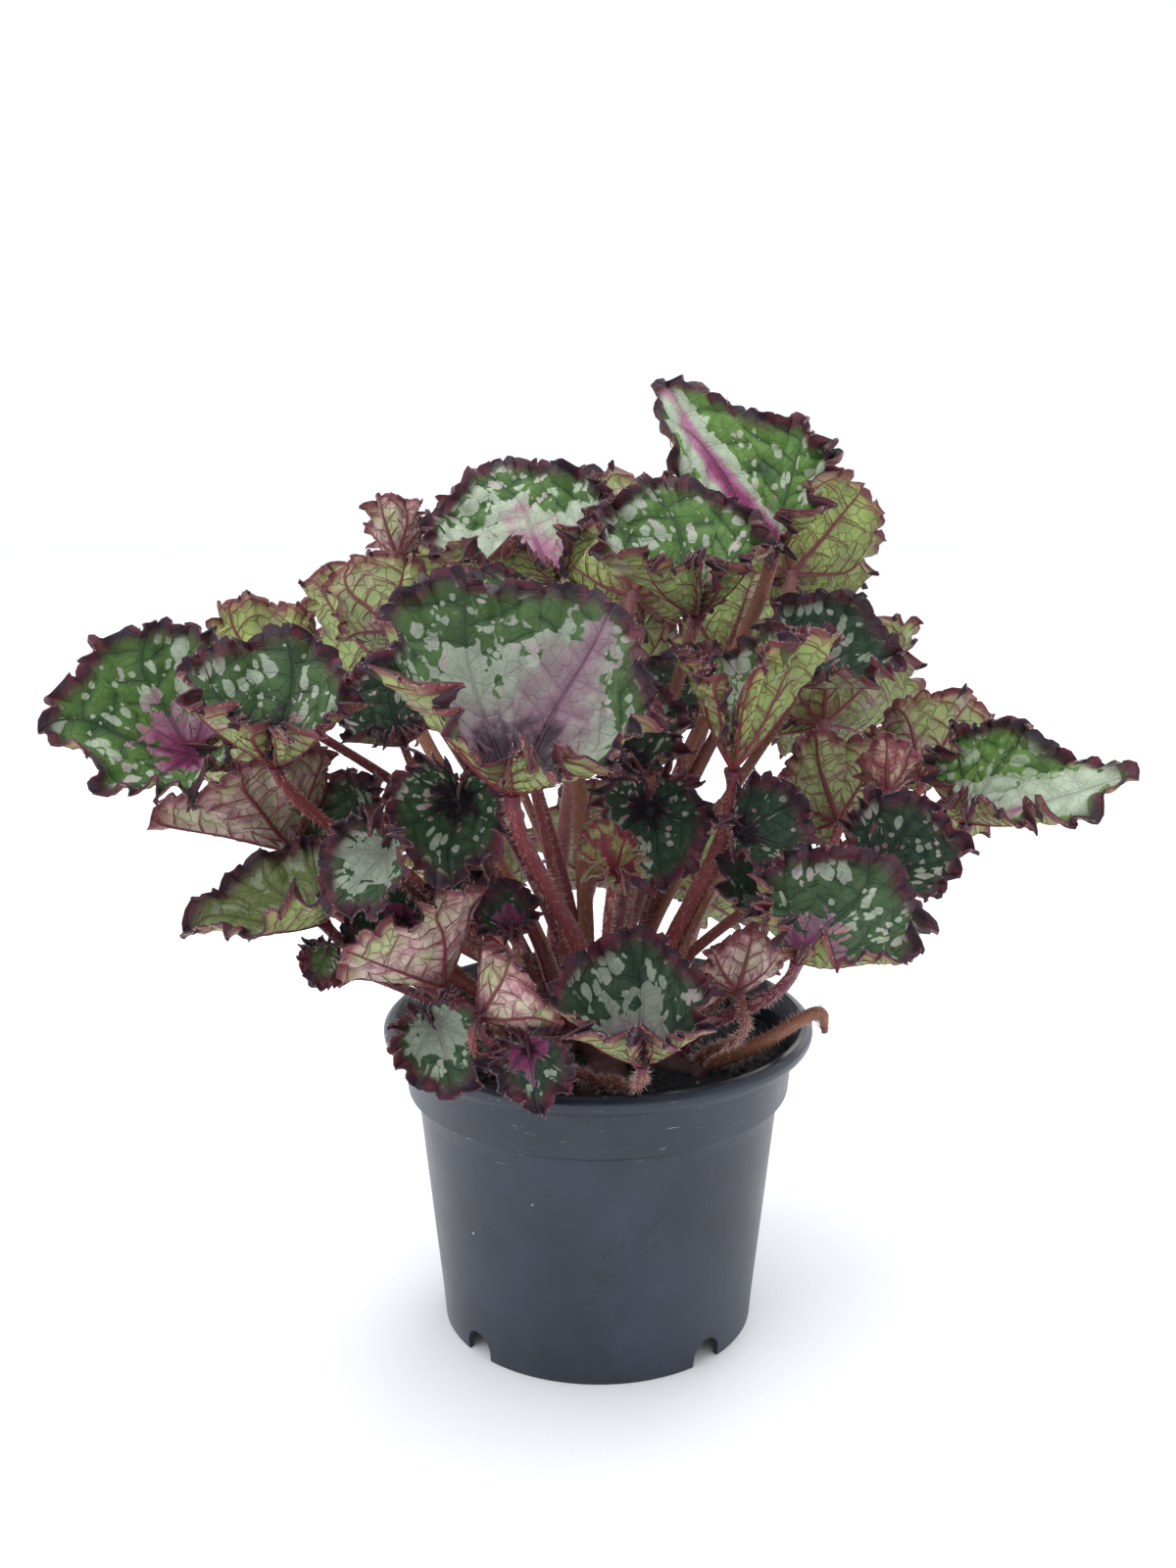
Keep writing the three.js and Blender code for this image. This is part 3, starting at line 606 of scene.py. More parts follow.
class Value:
    """An output in a node tree, which can be added, subtracted and multiplied as a number is."""

    def __init__(self, shader, socket):
        self.shader = shader
        self.socket = socket

    def __add__(self, other):
        return self.shader.math("ADD", self, other)

    def __sub__(self, other):
        return self.shader.math("SUBTRACT", self, other)

    def __rsub__(self, other):
        return self.shader.math("SUBTRACT", other, self)

    def __mul__(self, other):
        return self.shader.math("MULTIPLY", self, other)


class Shader:
    """A material's node tree, built with short calls."""

    def __init__(self, name):
        self.material = bpy.data.materials.new(name)
        self.material.use_nodes = True
        self.tree = self.material.node_tree
        self.tree.nodes.clear()
        self.end = self.tree.nodes.new("ShaderNodeOutputMaterial")

    def feed(self, socket, value):
        """Links a value to a socket, or sets the socket to a number or an sRGB code."""
        if isinstance(value, Value):
            self.tree.links.new(value.socket, socket)
        else:
            socket.default_value = colour(value) if isinstance(value, str) else value

    def node(self, kind, inputs, **settings):
        """The outputs of a new node, by their names and in their order."""
        made = self.tree.nodes.new("ShaderNode" + kind)
        for key, value in settings.items():
            setattr(made, key, value)
        for key, value in inputs.items():
            if value is not None:
                self.feed(made.inputs[key], value)
        return {key: Value(self, socket) for place, socket in enumerate(made.outputs)
                for key in (place, socket.name)}

    def math(self, operation, first, second=0.0):
        return self.node("Math", {0: first, 1: second}, operation=operation)[0]

    def larger(self, first, second):
        return self.math("MAXIMUM", first, second)

    def mix(self, amount, first, second, blend="MIX"):
        inputs = {0: amount, 6: first, 7: second}
        return self.node("Mix", inputs, data_type="RGBA", blend_type=blend)[2]

    def over(self, skin, *coats):
        """Lays each (amount, colour) over all that lies below it."""
        for amount, paint in coats:
            skin = self.mix(amount, skin, paint)
        return skin

    def ramp(self, value, low, high, start=0.0, stop=1.0):
        """A smooth step from start to stop as the value goes from low to high."""
        places = {"Value": value, "From Min": low, "From Max": high}
        places.update({"To Min": start, "To Max": stop})
        return self.node("MapRange", places, interpolation_type="SMOOTHSTEP")[0]

    def noise(self, place, scale, detail=2.0, rough=0.5):
        inputs = {"Vector": place, "Scale": scale, "Detail": detail, "Roughness": rough}
        return self.node("TexNoise", inputs)[0]

    def drift(self, place, scale, detail, reach):
        """A small shift that changes from place to place."""
        wild = self.node("TexNoise", {"Vector": place, "Scale": scale, "Detail": detail})[1]
        return self.node("VectorMath", {0: wild, 3: reach}, operation="SCALE")[0]

    def shifted(self, place, shift):
        return self.node("VectorMath", {0: place, 1: shift}, operation="ADD")[0]

    def cells(self, place, scale, feature="F1"):
        return self.node("TexVoronoi", {"Vector": place, "Scale": scale}, feature=feature)

    def luck(self, cells):
        """A number from 0 to 1 that is each cell's own."""
        return self.node("SeparateColor", {0: cells["Color"]})[0]

    def dots(self, size, cells, softness):
        """A round dot of this size in the middle of each cell."""
        return self.ramp(size - cells["Distance"], 0.0, softness)

    def uv(self, name):
        return self.node("UVMap", {}, uv_map=name)[0]

    def object_place(self):
        return self.node("TexCoord", {})["Object"]

    def parts(self, name):
        """The red, green, blue and alpha of a colour attribute."""
        attribute = self.node("Attribute", {}, attribute_name=name)
        split = self.node("SeparateColor", {0: attribute["Color"]})
        return split[0], split[1], split[2], attribute["Alpha"]

    def bumps(self, *layers):
        """The normal that layers of (height, size in mm, strength) give, one upon another."""
        normal = None
        for height, size, strength in layers:
            inputs = {"Height": height, "Distance": size * MM, "Strength": strength}
            inputs["Normal"] = normal
            normal = self.node("Bump", inputs)[0]
        return normal

    def finish(self, base, roughness, normal, through=None, share=0.0, **sockets):
        """A Principled surface, with light let through in another colour where that is asked."""
        inputs = {"Base Color": base, "Roughness": roughness, "Normal": normal}
        inputs.update({key.replace("_", " "): value for key, value in sockets.items()})
        surface = self.node("BsdfPrincipled", inputs)[0]
        if through:
            glow = self.node("BsdfTranslucent", {"Color": through, "Normal": normal})[0]
            surface = self.node("MixShader", {0: share, 1: surface, 2: glow})[0]
        self.feed(self.end.inputs["Surface"], surface)
        return self.material


def leaf_fields(shader):
    """What both sides of a blade read: its veins, its fields and its tints. Lengths are in mm."""
    share, radius, spacing, margin = shader.parts("reach")
    veins = shader.node("SeparateXYZ", {0: shader.uv("veins")})
    sector, step = veins[0], veins[1]
    within = shader.math("FRACT", sector) - 0.5
    apart = shader.math("ABSOLUTE", within)
    across = apart * (TURN / LOBES.count) * radius
    half_width = shader.ramp(share, 0.0, 1.0, 0.75, 0.22)
    other_side = shader.math("GREATER_THAN", within, 0.0) * 0.5
    rung = shader.math("FRACT", step - apart * BRANCHING + other_side)
    beside = shader.math("ABSOLUTE", rung - 0.5) * spacing
    flat = shader.uv("flat")
    swayed = shader.shifted(flat, shader.drift(flat, 1.6, 1.0, 0.3))
    edges = shader.cells(swayed, 2.3, "DISTANCE_TO_EDGE")[0]
    return SimpleNamespace(
        share=share,
        margin=margin,
        flat=flat,
        swayed=swayed,
        polar=shader.node("CombineXYZ", {0: sector * 4.2, 1: radius * 0.125})[0],
        main=shader.ramp(across - half_width, 0.35, -0.15),
        side=shader.ramp(beside, 0.42, 0.06),
        hollow=shader.larger(shader.ramp(across, 4.0, 0.4), shader.ramp(beside, 2.2, 0.2)),
        net=shader.ramp(edges, 0.06, 0.01),
        pattern=shader.parts("pattern"),
        tint=shader.parts("tint"),
    )


def spots(shader, place, scale, reach, rare):
    """Round spots, one to a cell at most, of many sizes."""
    cells = shader.cells(place, scale)
    size = shader.ramp(shader.luck(cells), rare, 1.0) * reach
    return shader.dots(size, cells, 0.06)


def leaf_upper(looks):
    """Green with silver spots, a silver and pink middle, dark veins and a burgundy margin."""
    shader = Shader("leaf_upper")
    leaf = leaf_fields(shader)
    silver_field, pink_field, heart_field, dusk = leaf.pattern
    light, spotted, _, young = leaf.tint
    broad = shader.noise(leaf.flat, 0.7, 2.0)
    blobs = shader.noise(leaf.flat, 2.0, 2.0, 0.5)
    grain = shader.noise(leaf.flat, 14.0, 2.0)
    lines = shader.larger(leaf.main, leaf.side * 0.75)
    jagged = (blobs - 0.5) * 0.38

    # Painted light: a lighter green in broad patches, as strong as the leaf's light value, on leaves
    # that stood in light, with less of it near the veins. Past a light of 1, more painted light
    # turns the green lime.
    painted_light_patches = light * shader.ramp(broad, 0.12, 0.52) * (1.0 - leaf.hollow * 0.5)
    green = shader.over(
        shader.mix(broad, looks.deep_green, "#3c5a3c"),
        (painted_light_patches, shader.mix(blobs, looks.green, "#86a75a")),
        (shader.ramp(light, 1.0, 1.6), "#8c9562"),
        (leaf.net * 0.12, "#1d3524"),
        (lines * 0.36, "#1c2a1c"),
    )
    # The dusk value is painted shade: it greys the silver, calms the pink blotches, turns the pink
    # flush to the darker mauve and darkens the whole skin.
    silver = shader.over(looks.silver, (grain, "#d6dfca"), (dusk * 0.75, "#7f8a7c"))

    blotchy = (broad - 0.5) * shader.ramp(dusk, 0.0, 0.3, 1.1, 0.3)
    blushed = pink_field + jagged * 0.7 + blotchy
    along_veins = blushed + leaf.hollow * leaf.hollow * 0.05
    middle = shader.over(
        silver,
        (shader.ramp(along_veins, -0.08, 0.28),
         shader.mix(shader.ramp(dusk, 0.0, 0.5), "#bb7f9f", looks.mauve)),
        (shader.ramp(blushed, 0.26, 0.5), looks.magenta),
        (leaf.net * 0.06, "#6c5a60"),
        (leaf.main * shader.ramp(blushed, 0.0, 0.3, 0.18, 0.6), "#5b2f48"),
        (dusk * 0.3, "#50444c"),
    )
    lobed = (shader.noise(leaf.flat, 1.5, 0.0) - 0.5) * 0.5
    angular = (shader.luck(shader.cells(leaf.swayed, 2.7)) - 0.5) * 0.3
    silvered = shader.ramp(silver_field + lobed + angular, -0.004, 0.014)

    stray = shader.drift(leaf.flat, 5.0, 2.0, 0.2)
    large = spots(shader, shader.shifted(leaf.polar, stray), 1.25, 0.62, 0.1)
    small = spots(shader, shader.shifted(leaf.flat, stray), 3.6, 0.5, 0.5)
    where = shader.ramp(leaf.share, 0.16, 0.28) * shader.ramp(leaf.margin, 3.0, 5.5)
    off_veins = shader.ramp(leaf.main, 0.8, 0.3)
    dots = shader.larger(large, small) * where * off_veins * spotted
    spot_colour = shader.over(
        silver,
        (shader.ramp(broad, 0.5, 0.75), "#c9b3bb"),
        (shader.ramp(leaf.share, 0.5, 0.36, 0.0, 0.8), "#a8667c"),
    )

    ragged = leaf.margin - jagged * 10.0
    burgundy = shader.over(
        looks.burgundy,
        (shader.ramp(blobs, 0.42, 0.62), "#5f2c3a"),
        (shader.ramp(broad, 0.55, 0.75, 0.0, 0.5), "#8a4452"),
    )
    fresh = shader.over("#a9a468", (shader.ramp(blobs, 0.42, 0.6), "#923448"), (lines, "#a02848"))
    skin = shader.over(
        green,
        # Painted shade: the skin darkens by the leaf's dusk.
        (dusk * 0.6, "#263230"),
        (dots, spot_colour),
        (silvered, middle),
        (shader.ramp(heart_field + jagged, -0.05, 0.1) * 0.85, looks.heart),
        (shader.ramp(ragged, 8.0, 3.4, 0.0, 0.62), "#553b3a"),
        (shader.ramp(ragged, 5.2, 2.2, 0.0, 0.95), burgundy),
        (young * shader.ramp(ragged, 0.5, 2.5, 0.45, 1.0), fresh),
    )
    cushions = 1.0 - shader.larger(leaf.net * 0.6, lines)
    normal = shader.bumps((cushions, 0.35, 0.7), (blobs, 1.2, 0.5), (grain, 0.12, 0.6))
    through = shader.mix(0.5, skin, "#7fae3c", "SOFT_LIGHT")
    return shader.finish(
        skin, shader.ramp(grain, 0.3, 0.7, 0.36, 0.5), normal, through, looks.glow,
        Specular_IOR_Level=0.3, Sheen_Weight=0.06, Sheen_Roughness=0.45, Sheen_Tint="#ecd6de",
    )


def leaf_under(looks):
    """Lime to pale pink, with a dark red net of veins and a red margin."""
    shader = Shader("leaf_under")
    leaf = leaf_fields(shader)
    dusk = leaf.pattern[3]
    _, _, blush, young = leaf.tint
    broad = shader.noise(leaf.flat, 0.8, 2.0)
    blobs = shader.noise(leaf.flat, 2.2, 3.0)
    grain = shader.noise(leaf.flat, 16.0, 2.0)
    lines = shader.larger(leaf.main, leaf.side * 0.6)
    flushed = blush + (broad - 0.5) * 1.6
    ragged = leaf.margin - (blobs - 0.5) * 9.0
    skin = shader.over(
        looks.lime,
        (shader.ramp(broad, 0.35, 0.7), looks.olive),
        (blush * 0.9, "#ccd1ae"),
        (
            shader.ramp(flushed, 0.2, 0.8),
            shader.mix(shader.ramp(blobs, 0.35, 0.65), looks.blush, "#bd8490"),
        ),
        (shader.ramp(leaf.share, 0.4, 0.05, 0.0, 0.7), "#7b2a3a"),
        (young, shader.mix(shader.ramp(blobs, 0.4, 0.58), "#c3ab84", "#96323f")),
        # Painted shade: the lower side darkens by the leaf's dusk.
        (dusk * 0.35, "#4b4a34"),
        (leaf.hollow * leaf.hollow * 0.2, "#96504a"),
        (leaf.net * 0.42, looks.vein),
        (lines * 0.9, looks.vein),
        (shader.ramp(ragged, 6.4, 2.2, 0.0, 0.5), shader.mix(blush, "#9c5647", "#b06c7c")),
        (shader.ramp(ragged, 3.4, 0.8, 0.0, 0.9), looks.red_edge),
    )
    raised = shader.larger(leaf.net * 0.6, lines)
    normal = shader.bumps((raised, 0.6, 0.9), (blobs, 1.2, 0.5), (grain, 0.1, 0.6))
    through = shader.mix(0.35, skin, "#a6c548")
    return shader.finish(skin, 0.52, normal, through, looks.glow, Sheen_Weight=0.12)


def leaf_rib(looks):
    """The raised veins below a blade."""
    shader = Shader("leaf_rib")
    mottle = shader.noise(shader.object_place(), 400.0, 2.0)
    skin = shader.mix(mottle, looks.vein, "#84383c")
    return shader.finish(skin, 0.5, shader.bumps((mottle, 0.1, 1.0)), "#a04048", 0.15)


def hair_skin():
    """The pale hairs of the stalks and margins, which share one material."""
    made = bpy.data.materials.get("begonia_hair")
    if made:
        return made
    shader = Shader("begonia_hair")
    mottle = shader.noise(shader.object_place(), 700.0, 1.0)
    skin = shader.mix(mottle, "#c9a6a0", "#e3cfc6")
    return shader.finish(skin, 0.5, shader.bumps((mottle, 0.02, 1.0)), "#e0b8b0", 0.3)


def stalk_skin(looks):
    """Rust red to tan, streaked along its length, with pale flecks."""
    shader = Shader("stalk_skin")
    tan_share, purple_share, brown_share, _ = shader.parts("stalk_tone")
    stretched = shader.node("Mapping", {0: shader.uv("stalk"), 3: (9.0, 0.9, 1.0)})[0]
    streaks = shader.noise(stretched, 4.0, 3.0, 0.6)
    mottle = shader.noise(shader.object_place(), 260.0, 3.0)
    streaked = shader.ramp(streaks, 0.3, 0.75)
    flecks = shader.cells(shader.object_place(), 900.0)["Distance"]
    skin = shader.over(
        looks.red,
        (streaked, looks.dark_red),
        (tan_share, shader.mix(streaked, looks.tan, "#8a5340")),
        (purple_share * 0.85, "#512338"),
        (brown_share * 0.9, "#2f2828"),
        (shader.ramp(flecks, 0.22, 0.12, 0.0, 0.35), "#c98d76"),
    )
    normal = shader.bumps((streaks, 0.35, 0.7), (mottle, 0.15, 0.6))
    return shader.finish(skin, shader.ramp(mottle, 0.3, 0.7, 0.38, 0.55), normal, "#c8503a", 0.14)


def pot_plastic(looks):
    """Satin slate-black moulded plastic, with a bloom, fine scratches and a few white specks."""
    shader = Shader("pot_plastic")
    place = shader.object_place()
    cloud = shader.noise(place, 26.0, 4.0, 0.6)
    grain = shader.noise(place, 900.0, 2.0)
    smudges = shader.noise(place, 60.0, 5.0, 0.7)
    split = shader.node("SeparateXYZ", {0: place})
    angle = shader.math("ARCTAN2", split[1], split[0])
    around = shader.node("CombineXYZ", {0: angle * 0.9, 1: split[2]})[0]
    stretched = shader.node("Mapping", {0: around, 3: (6.0, 900.0, 1.0)})[0]
    scratches = shader.noise(stretched, 1.0, 3.0, 0.75)
    on_collar = shader.ramp(split[2], 0.070, 0.085)
    specks = shader.cells(place, 105.0)
    size = shader.math("GREATER_THAN", shader.luck(specks), 0.84) * 0.055
    skin = shader.over(
        looks.plastic,
        (shader.ramp(cloud, 0.3, 0.75), "#293241"),
        (shader.ramp(smudges, 0.56, 0.7, 0.0, 0.5), "#0f141d"),
        (shader.ramp(scratches, 0.64, 0.72, 0.0, 0.6) * on_collar, "#aab2b8"),
        (shader.dots(size, specks, 0.02) * 0.7, "#c9ced0"),
    )
    gloss = shader.ramp(cloud, 0.3, 0.7, looks.roughness - 0.05, looks.roughness + 0.08)
    return shader.finish(skin, gloss, shader.bumps((grain, 0.04, 0.5), (scratches, 0.05, 0.3)))


def soil_peat(looks):
    """Damp dark peat, paler where a crumb has dried."""
    shader = Shader("soil_peat")
    place = shader.object_place()
    broad = shader.noise(place, 90.0, 4.0, 0.65)
    fine = shader.noise(place, 900.0, 3.0, 0.7)
    skin = shader.over(
        looks.peat,
        (shader.ramp(broad, 0.3, 0.7), "#1c1d22"),
        (shader.ramp(fine, 0.55, 0.8, 0.0, 0.4), "#4b4a4c"),
        (shader.parts("pale")[0], looks.fleck),
    )
    return shader.finish(skin, 0.9, shader.bumps((broad, 1.2, 0.8), (fine, 0.4, 0.9)))


# ------------------------------------------------------------------ settings


def length(name, description, default):
    return FloatProperty(name=name, description=description, default=default, unit="LENGTH")


def amount(name, description, default):
    """A setting from 0 to 1."""
    return FloatProperty(name=name, description=description, default=default, min=0, max=1)


def count(name, description, default, least=0):
    return IntProperty(name=name, description=description, default=default, min=least)


def paint(name, description, default):
    """A colour setting, kept as the sRGB values that a colour picker shows."""
    return FloatVectorProperty(
        name=name, description=description, default=srgb(default), subtype="COLOR_GAMMA",
        min=0, max=1,
    )


def code(value):
    """The sRGB code of a colour setting."""
    return "#" + "".join(f"{round(part * 255):02x}" for part in value)


def coded(settings, names):
    return SimpleNamespace(**{name: code(getattr(settings, name)) for name in names})


class BegoniaPotSettings(bpy.types.PropertyGroup):
    """The pot's finish."""

    plastic: paint("Plastic", "Colour of the moulded plastic", "#171e2b")
    roughness: amount("Roughness", "Roughness of the plastic", 0.36)
    sides: count("Sides", "Steps round the pot", 192, 32)


class BegoniaSoilSettings(bpy.types.PropertyGroup):
    """The soil and the crumbs on it."""

    peat: paint("Peat", "Colour of the damp peat", "#101117")
    fleck: paint("Flecks", "Colour of the pale flecks", "#8f8a80")
    crumbs: count("Crumbs", "Crumbs that lie on the soil", 900)
    lumps: length("Lumps", "Height of the lumps of the soil", 2.2 * MM)


class BegoniaStalkSettings(bpy.types.PropertyGroup):
    """The leaf stalks and the rhizome."""

    red: paint("Red", "Colour of most of the stalks", "#a04646")
    dark_red: paint("Dark red", "Colour of their streaks", "#5c2536")
    tan: paint("Tan", "Colour of the oldest stalks", "#9b6b4e")
    hair: length("Hair length", "Length of the hairs on the stalks", 2.1 * MM)
    hairs: count("Hairs", "Hairs on each stalk", 480)


class BegoniaBladeSettings(bpy.types.PropertyGroup):
    """The leaf blades."""

    thickness: length("Thickness", "Thickness of a blade", 0.55 * MM)
    pucker: length("Pucker", "Height of the cushions between the veins", 1.05 * MM)
    crisp: length("Crisping", "Height of the fine waves of the margin", 4.6 * MM)
    hair: length("Hair length", "Length of the hairs on the margin", 1.3 * MM)
    glow: amount("Glow", "Share of the light that a blade lets through", 0.3)
    # Laid on as painted light, in broad patches, on leaves that stood in light.
    green: paint("Green", "Brighter green of the upper side", "#55833c")
    deep_green: paint("Deep green", "Darker green of the upper side", "#2a3f37")
    silver: paint("Silver", "Silver of the middle and the spots", "#a6b5a0")
    # The flush as a leaf in shade shows it: painted shade that takes over from a brighter pink as
    # dusk grows.
    mauve: paint("Mauve", "Flush in the silver", "#987386")
    magenta: paint("Magenta", "Colour round the top of the stalk", "#9f4779")
    heart: paint("Heart", "Darkest middle", "#251423")
    burgundy: paint("Margin", "Colour of the margin above", "#392a38")
    lime: paint("Lime", "Brighter colour of the lower side", "#b2c76c")
    olive: paint("Olive", "Darker colour of the lower side", "#8d9c52")
    blush: paint("Blush", "Pink of the lower side", "#e8c6c2")
    vein: paint("Veins", "Colour of the veins below", "#6e2832")
    red_edge: paint("Red edge", "Colour of the margin below", "#7c3040")


class BegoniaStageSettings(bpy.types.PropertyGroup):
    """The floor, the light and the camera."""

    camera_height: length("Camera height", "Height of the camera over the floor", 0.304)
    camera_distance: length("Camera distance", "From the camera to the pot's axis", 0.532)
    camera_side: length("Camera side", "How far the camera stands to the right", -0.0033)
    camera_tilt: FloatProperty(
        name="Camera tilt", description="How far the camera looks down",
        default=math.radians(13), subtype="ANGLE",
    )
    floor: paint("Floor", "Colour of the floor", "#fbfbfb")
    sky: FloatProperty(
        name="Sky", description="Strength of the light all round", default=1.13, min=0
    )


BLADE_COLOURS = (
    "green", "deep_green", "silver", "mauve", "magenta", "heart", "burgundy",
    "lime", "olive", "blush", "vein", "red_edge",
)


# ------------------------------------------------------------------ stage

SKY_TINT = (0.925, 0.955, 1.0, 1.0)  # a slightly cool white
LENS = SimpleNamespace(sensor=36, focal=39.375)
LAMP_AIM = Vector((0, 0, 0.17))
# name, place in metres, size in metres, watts
LAMPS = (
    ("overhead", (-0.15, -0.1, 1.3), 1.2, 9.0),
    ("left_front", (-1.1, -0.7, 0.7), 0.9, 4.0),
    ("behind", (0.5, 1.1, 0.8), 1.0, 7.0),
)


class BEGONIA_OT_stage(bpy.types.Operator):
    """Lays the floor, sets the lights and places the camera"""

    bl_idname = "begonia.stage"
    bl_label = "Stage"

    def execute(self, context):
        settings = context.scene.begonia_stage
        self.lay_floor(settings)
        self.light(context, settings)
        self.place_camera(context, settings)
        return {"FINISHED"}

    def lay_floor(self, settings):
        deselect()
        bpy.ops.mesh.primitive_plane_add(size=6, location=(0, 0, 0))
        floor = bpy.context.object
        floor.name = "floor"
        shader = Shader("floor")
        cloudy = shader.noise(shader.object_place(), 3.0)
        paper = shader.mix(cloudy, code(settings.floor), "#f4f5f7")
        floor.data.materials.append(shader.finish(paper, 0.9, None))

    def light(self, context, settings):
        world = context.scene.world or bpy.data.worlds.new("sky")
        context.scene.world = world
        world.use_nodes = True
        sky = world.node_tree.nodes["Background"]
        sky.inputs["Color"].default_value = SKY_TINT
        sky.inputs["Strength"].default_value = settings.sky
        for name, place, size, watts in LAMPS:
            bpy.ops.object.light_add(type="AREA", location=place)
            lamp = bpy.context.object
            lamp.name = name
            lamp.data.energy = watts
            lamp.data.size = size
            aim = LAMP_AIM - Vector(place)
            lamp.rotation_euler = aim.to_track_quat("-Z", "Y").to_euler()

    def place_camera(self, context, settings):
        place = (settings.camera_side, -settings.camera_distance, settings.camera_height)
        turn = (math.pi / 2 - settings.camera_tilt, 0, 0)
        bpy.ops.object.camera_add(location=place, rotation=turn)
        camera = bpy.context.object
        camera.data.sensor_width = LENS.sensor
        camera.data.lens = LENS.focal
        context.scene.camera = camera
        context.scene.view_settings.view_transform = "Standard"


# ------------------------------------------------------------------ pot


def inner_wall(clearance):
    """The pot's inner wall as (radius, height) corners from its foot up."""
    collar_foot = POT.height - POT.collar_height
    thick = POT.wall + clearance
    return [
        (POT.foot_radius - thick, POT.floor_height + clearance),
        (POT.collar_radius - POT.collar_step - thick, collar_foot - POT.step_height + POT.wall),
        (POT.collar_radius - thick, collar_foot + POT.wall),
        (POT.rim_radius - POT.lip_width - thick, POT.height - POT.lip_height - POT.wall),
    ]


def pot_profile():
    """Half of the pot's section, as (radius, height) corners."""
    collar_top = POT.rim_radius - POT.lip_width
    body_top = POT.collar_radius - POT.collar_step
    collar_foot = POT.height - POT.collar_height
    lip_foot = POT.height - POT.lip_height
    return [
        (0, 0),
        (POT.well_radius, 0),
        (POT.well_radius + POT.wall, POT.floor_height - POT.wall),
        (POT.foot_radius - POT.wall, POT.floor_height - POT.wall),
        (POT.foot_radius - POT.wall, 0),
        (POT.foot_radius, 0),
        (POT.foot_radius + 0.7, 9),
        (body_top, collar_foot - POT.step_height),
        (body_top + POT.collar_step / 4, collar_foot - POT.step_height / 4),
        (POT.collar_radius, collar_foot),
        (collar_top - POT.wall / 2, lip_foot - 2 * POT.wall),
        (collar_top + POT.wall, lip_foot),
        (POT.rim_radius - POT.lip_round / 2, lip_foot),
        (POT.rim_radius, lip_foot + POT.lip_round),
        (POT.rim_radius, POT.height - POT.lip_round),
        (POT.rim_radius - POT.lip_round, POT.height),
        (POT.rim_radius - POT.lip_width + POT.lip_round, POT.height),
        *reversed(inner_wall(0)),
        (POT.well_radius, POT.floor_height),
        (POT.well_radius - POT.wall, POT.wall),
        (0, POT.wall),
    ]


def spun(profile, sides, rounding):
    """A round solid from half of its section, with its corners rounded before it is spun."""
    deselect()
    bpy.ops.mesh.primitive_circle_add(vertices=len(profile), radius=1)
    piece = bpy.context.object
    corners = np.array([(radius, 0, height) for radius, height in profile]) * MM
    set_coordinates(piece.data, corners)

    def round_corners():
        bpy.ops.mesh.bevel(offset=rounding, segments=4, affect="VERTICES", clamp_overlap=True)

    def spin():
        bpy.ops.mesh.select_all(action="SELECT")
        bpy.ops.mesh.spin(steps=sides, angle=TURN, center=(0, 0, 0), axis=(0, 0, 1))
        bpy.ops.mesh.select_all(action="SELECT")

    edit(piece, round_corners, spin, merge_doubles, face_outwards)
    return piece


def notch_cutter(angle):
    """An arch-topped block through the foot of the wall."""
    round_top = NOTCH.width / 2
    bpy.ops.mesh.primitive_cylinder_add(vertices=48, radius=round_top * MM, depth=NOTCH.depth * MM)
    cutter = bpy.context.object
    side, up, along = coordinates(cutter.data).T.copy()
    height = (NOTCH.height - round_top) * MM + up - NOTCH.drop * MM * (up < -1e-6)
    reach = -(POT.foot_radius - POT.wall + NOTCH.depth / 2 - NOTCH.inset) * MM + along
    turned = Matrix.Rotation(math.radians(angle), 3, "Z")
    placed = np.stack([side, reach, height], axis=-1) @ np.array(turned).T
    set_coordinates(cutter.data, placed)
    edit(cutter, face_outwards)
    return cutter


def drain_cutter(angle):
    """A round block through the raised floor."""
    out = Matrix.Rotation(math.radians(angle), 3, "Z") @ Vector((DRAIN.ring_radius, 0, 0))
    place = (out + Vector((0, 0, POT.floor_height - POT.wall / 2))) * MM
    bpy.ops.mesh.primitive_cylinder_add(
        vertices=32, radius=DRAIN.radius * MM, depth=4 * POT.wall * MM, location=place
    )
    return bpy.context.object


class BEGONIA_OT_pot(bpy.types.Operator):
    """Spins the nursery pot and cuts its notches and drainage holes"""

    bl_idname = "begonia.pot"
    bl_label = "Pot"

    def execute(self, context):
        settings = context.scene.begonia_pot
        pot = spun(pot_profile(), settings.sides, 0.5 * MM)
        notches = range(NOTCH.count)
        cutters = [notch_cutter(NOTCH.first_angle + 360 * notch / NOTCH.count) for notch in notches]
        cutters += [drain_cutter(360 * (hole + 0.5) / DRAIN.count) for hole in range(DRAIN.count)]
        cutter = joined(cutters[0], cutters[1:])
        apply_modifier(pot, "BOOLEAN", object=cutter, operation="DIFFERENCE", solver="EXACT")
        bpy.data.objects.remove(cutter)
        looks = SimpleNamespace(plastic=code(settings.plastic), roughness=settings.roughness)
        pot.data.materials.append(pot_plastic(looks))
        finished(pot, "nursery_pot", "pot_plastic", "pot")
        return {"FINISHED"}


# ------------------------------------------------------------------ soil


def soil_height(x, y):
    """Height in mm of the soil's lumpy surface."""
    out = np.hypot(x, y) / SOIL.radius
    crown = SOIL.edge_height + SOIL.crown * (1 - out * out)
    lumps = np.sin(x * 0.31 + y * 0.17) + np.sin(y * 0.37 - x * 0.23) + np.sin(x * 0.09)
    return crown + 0.5 * lumps


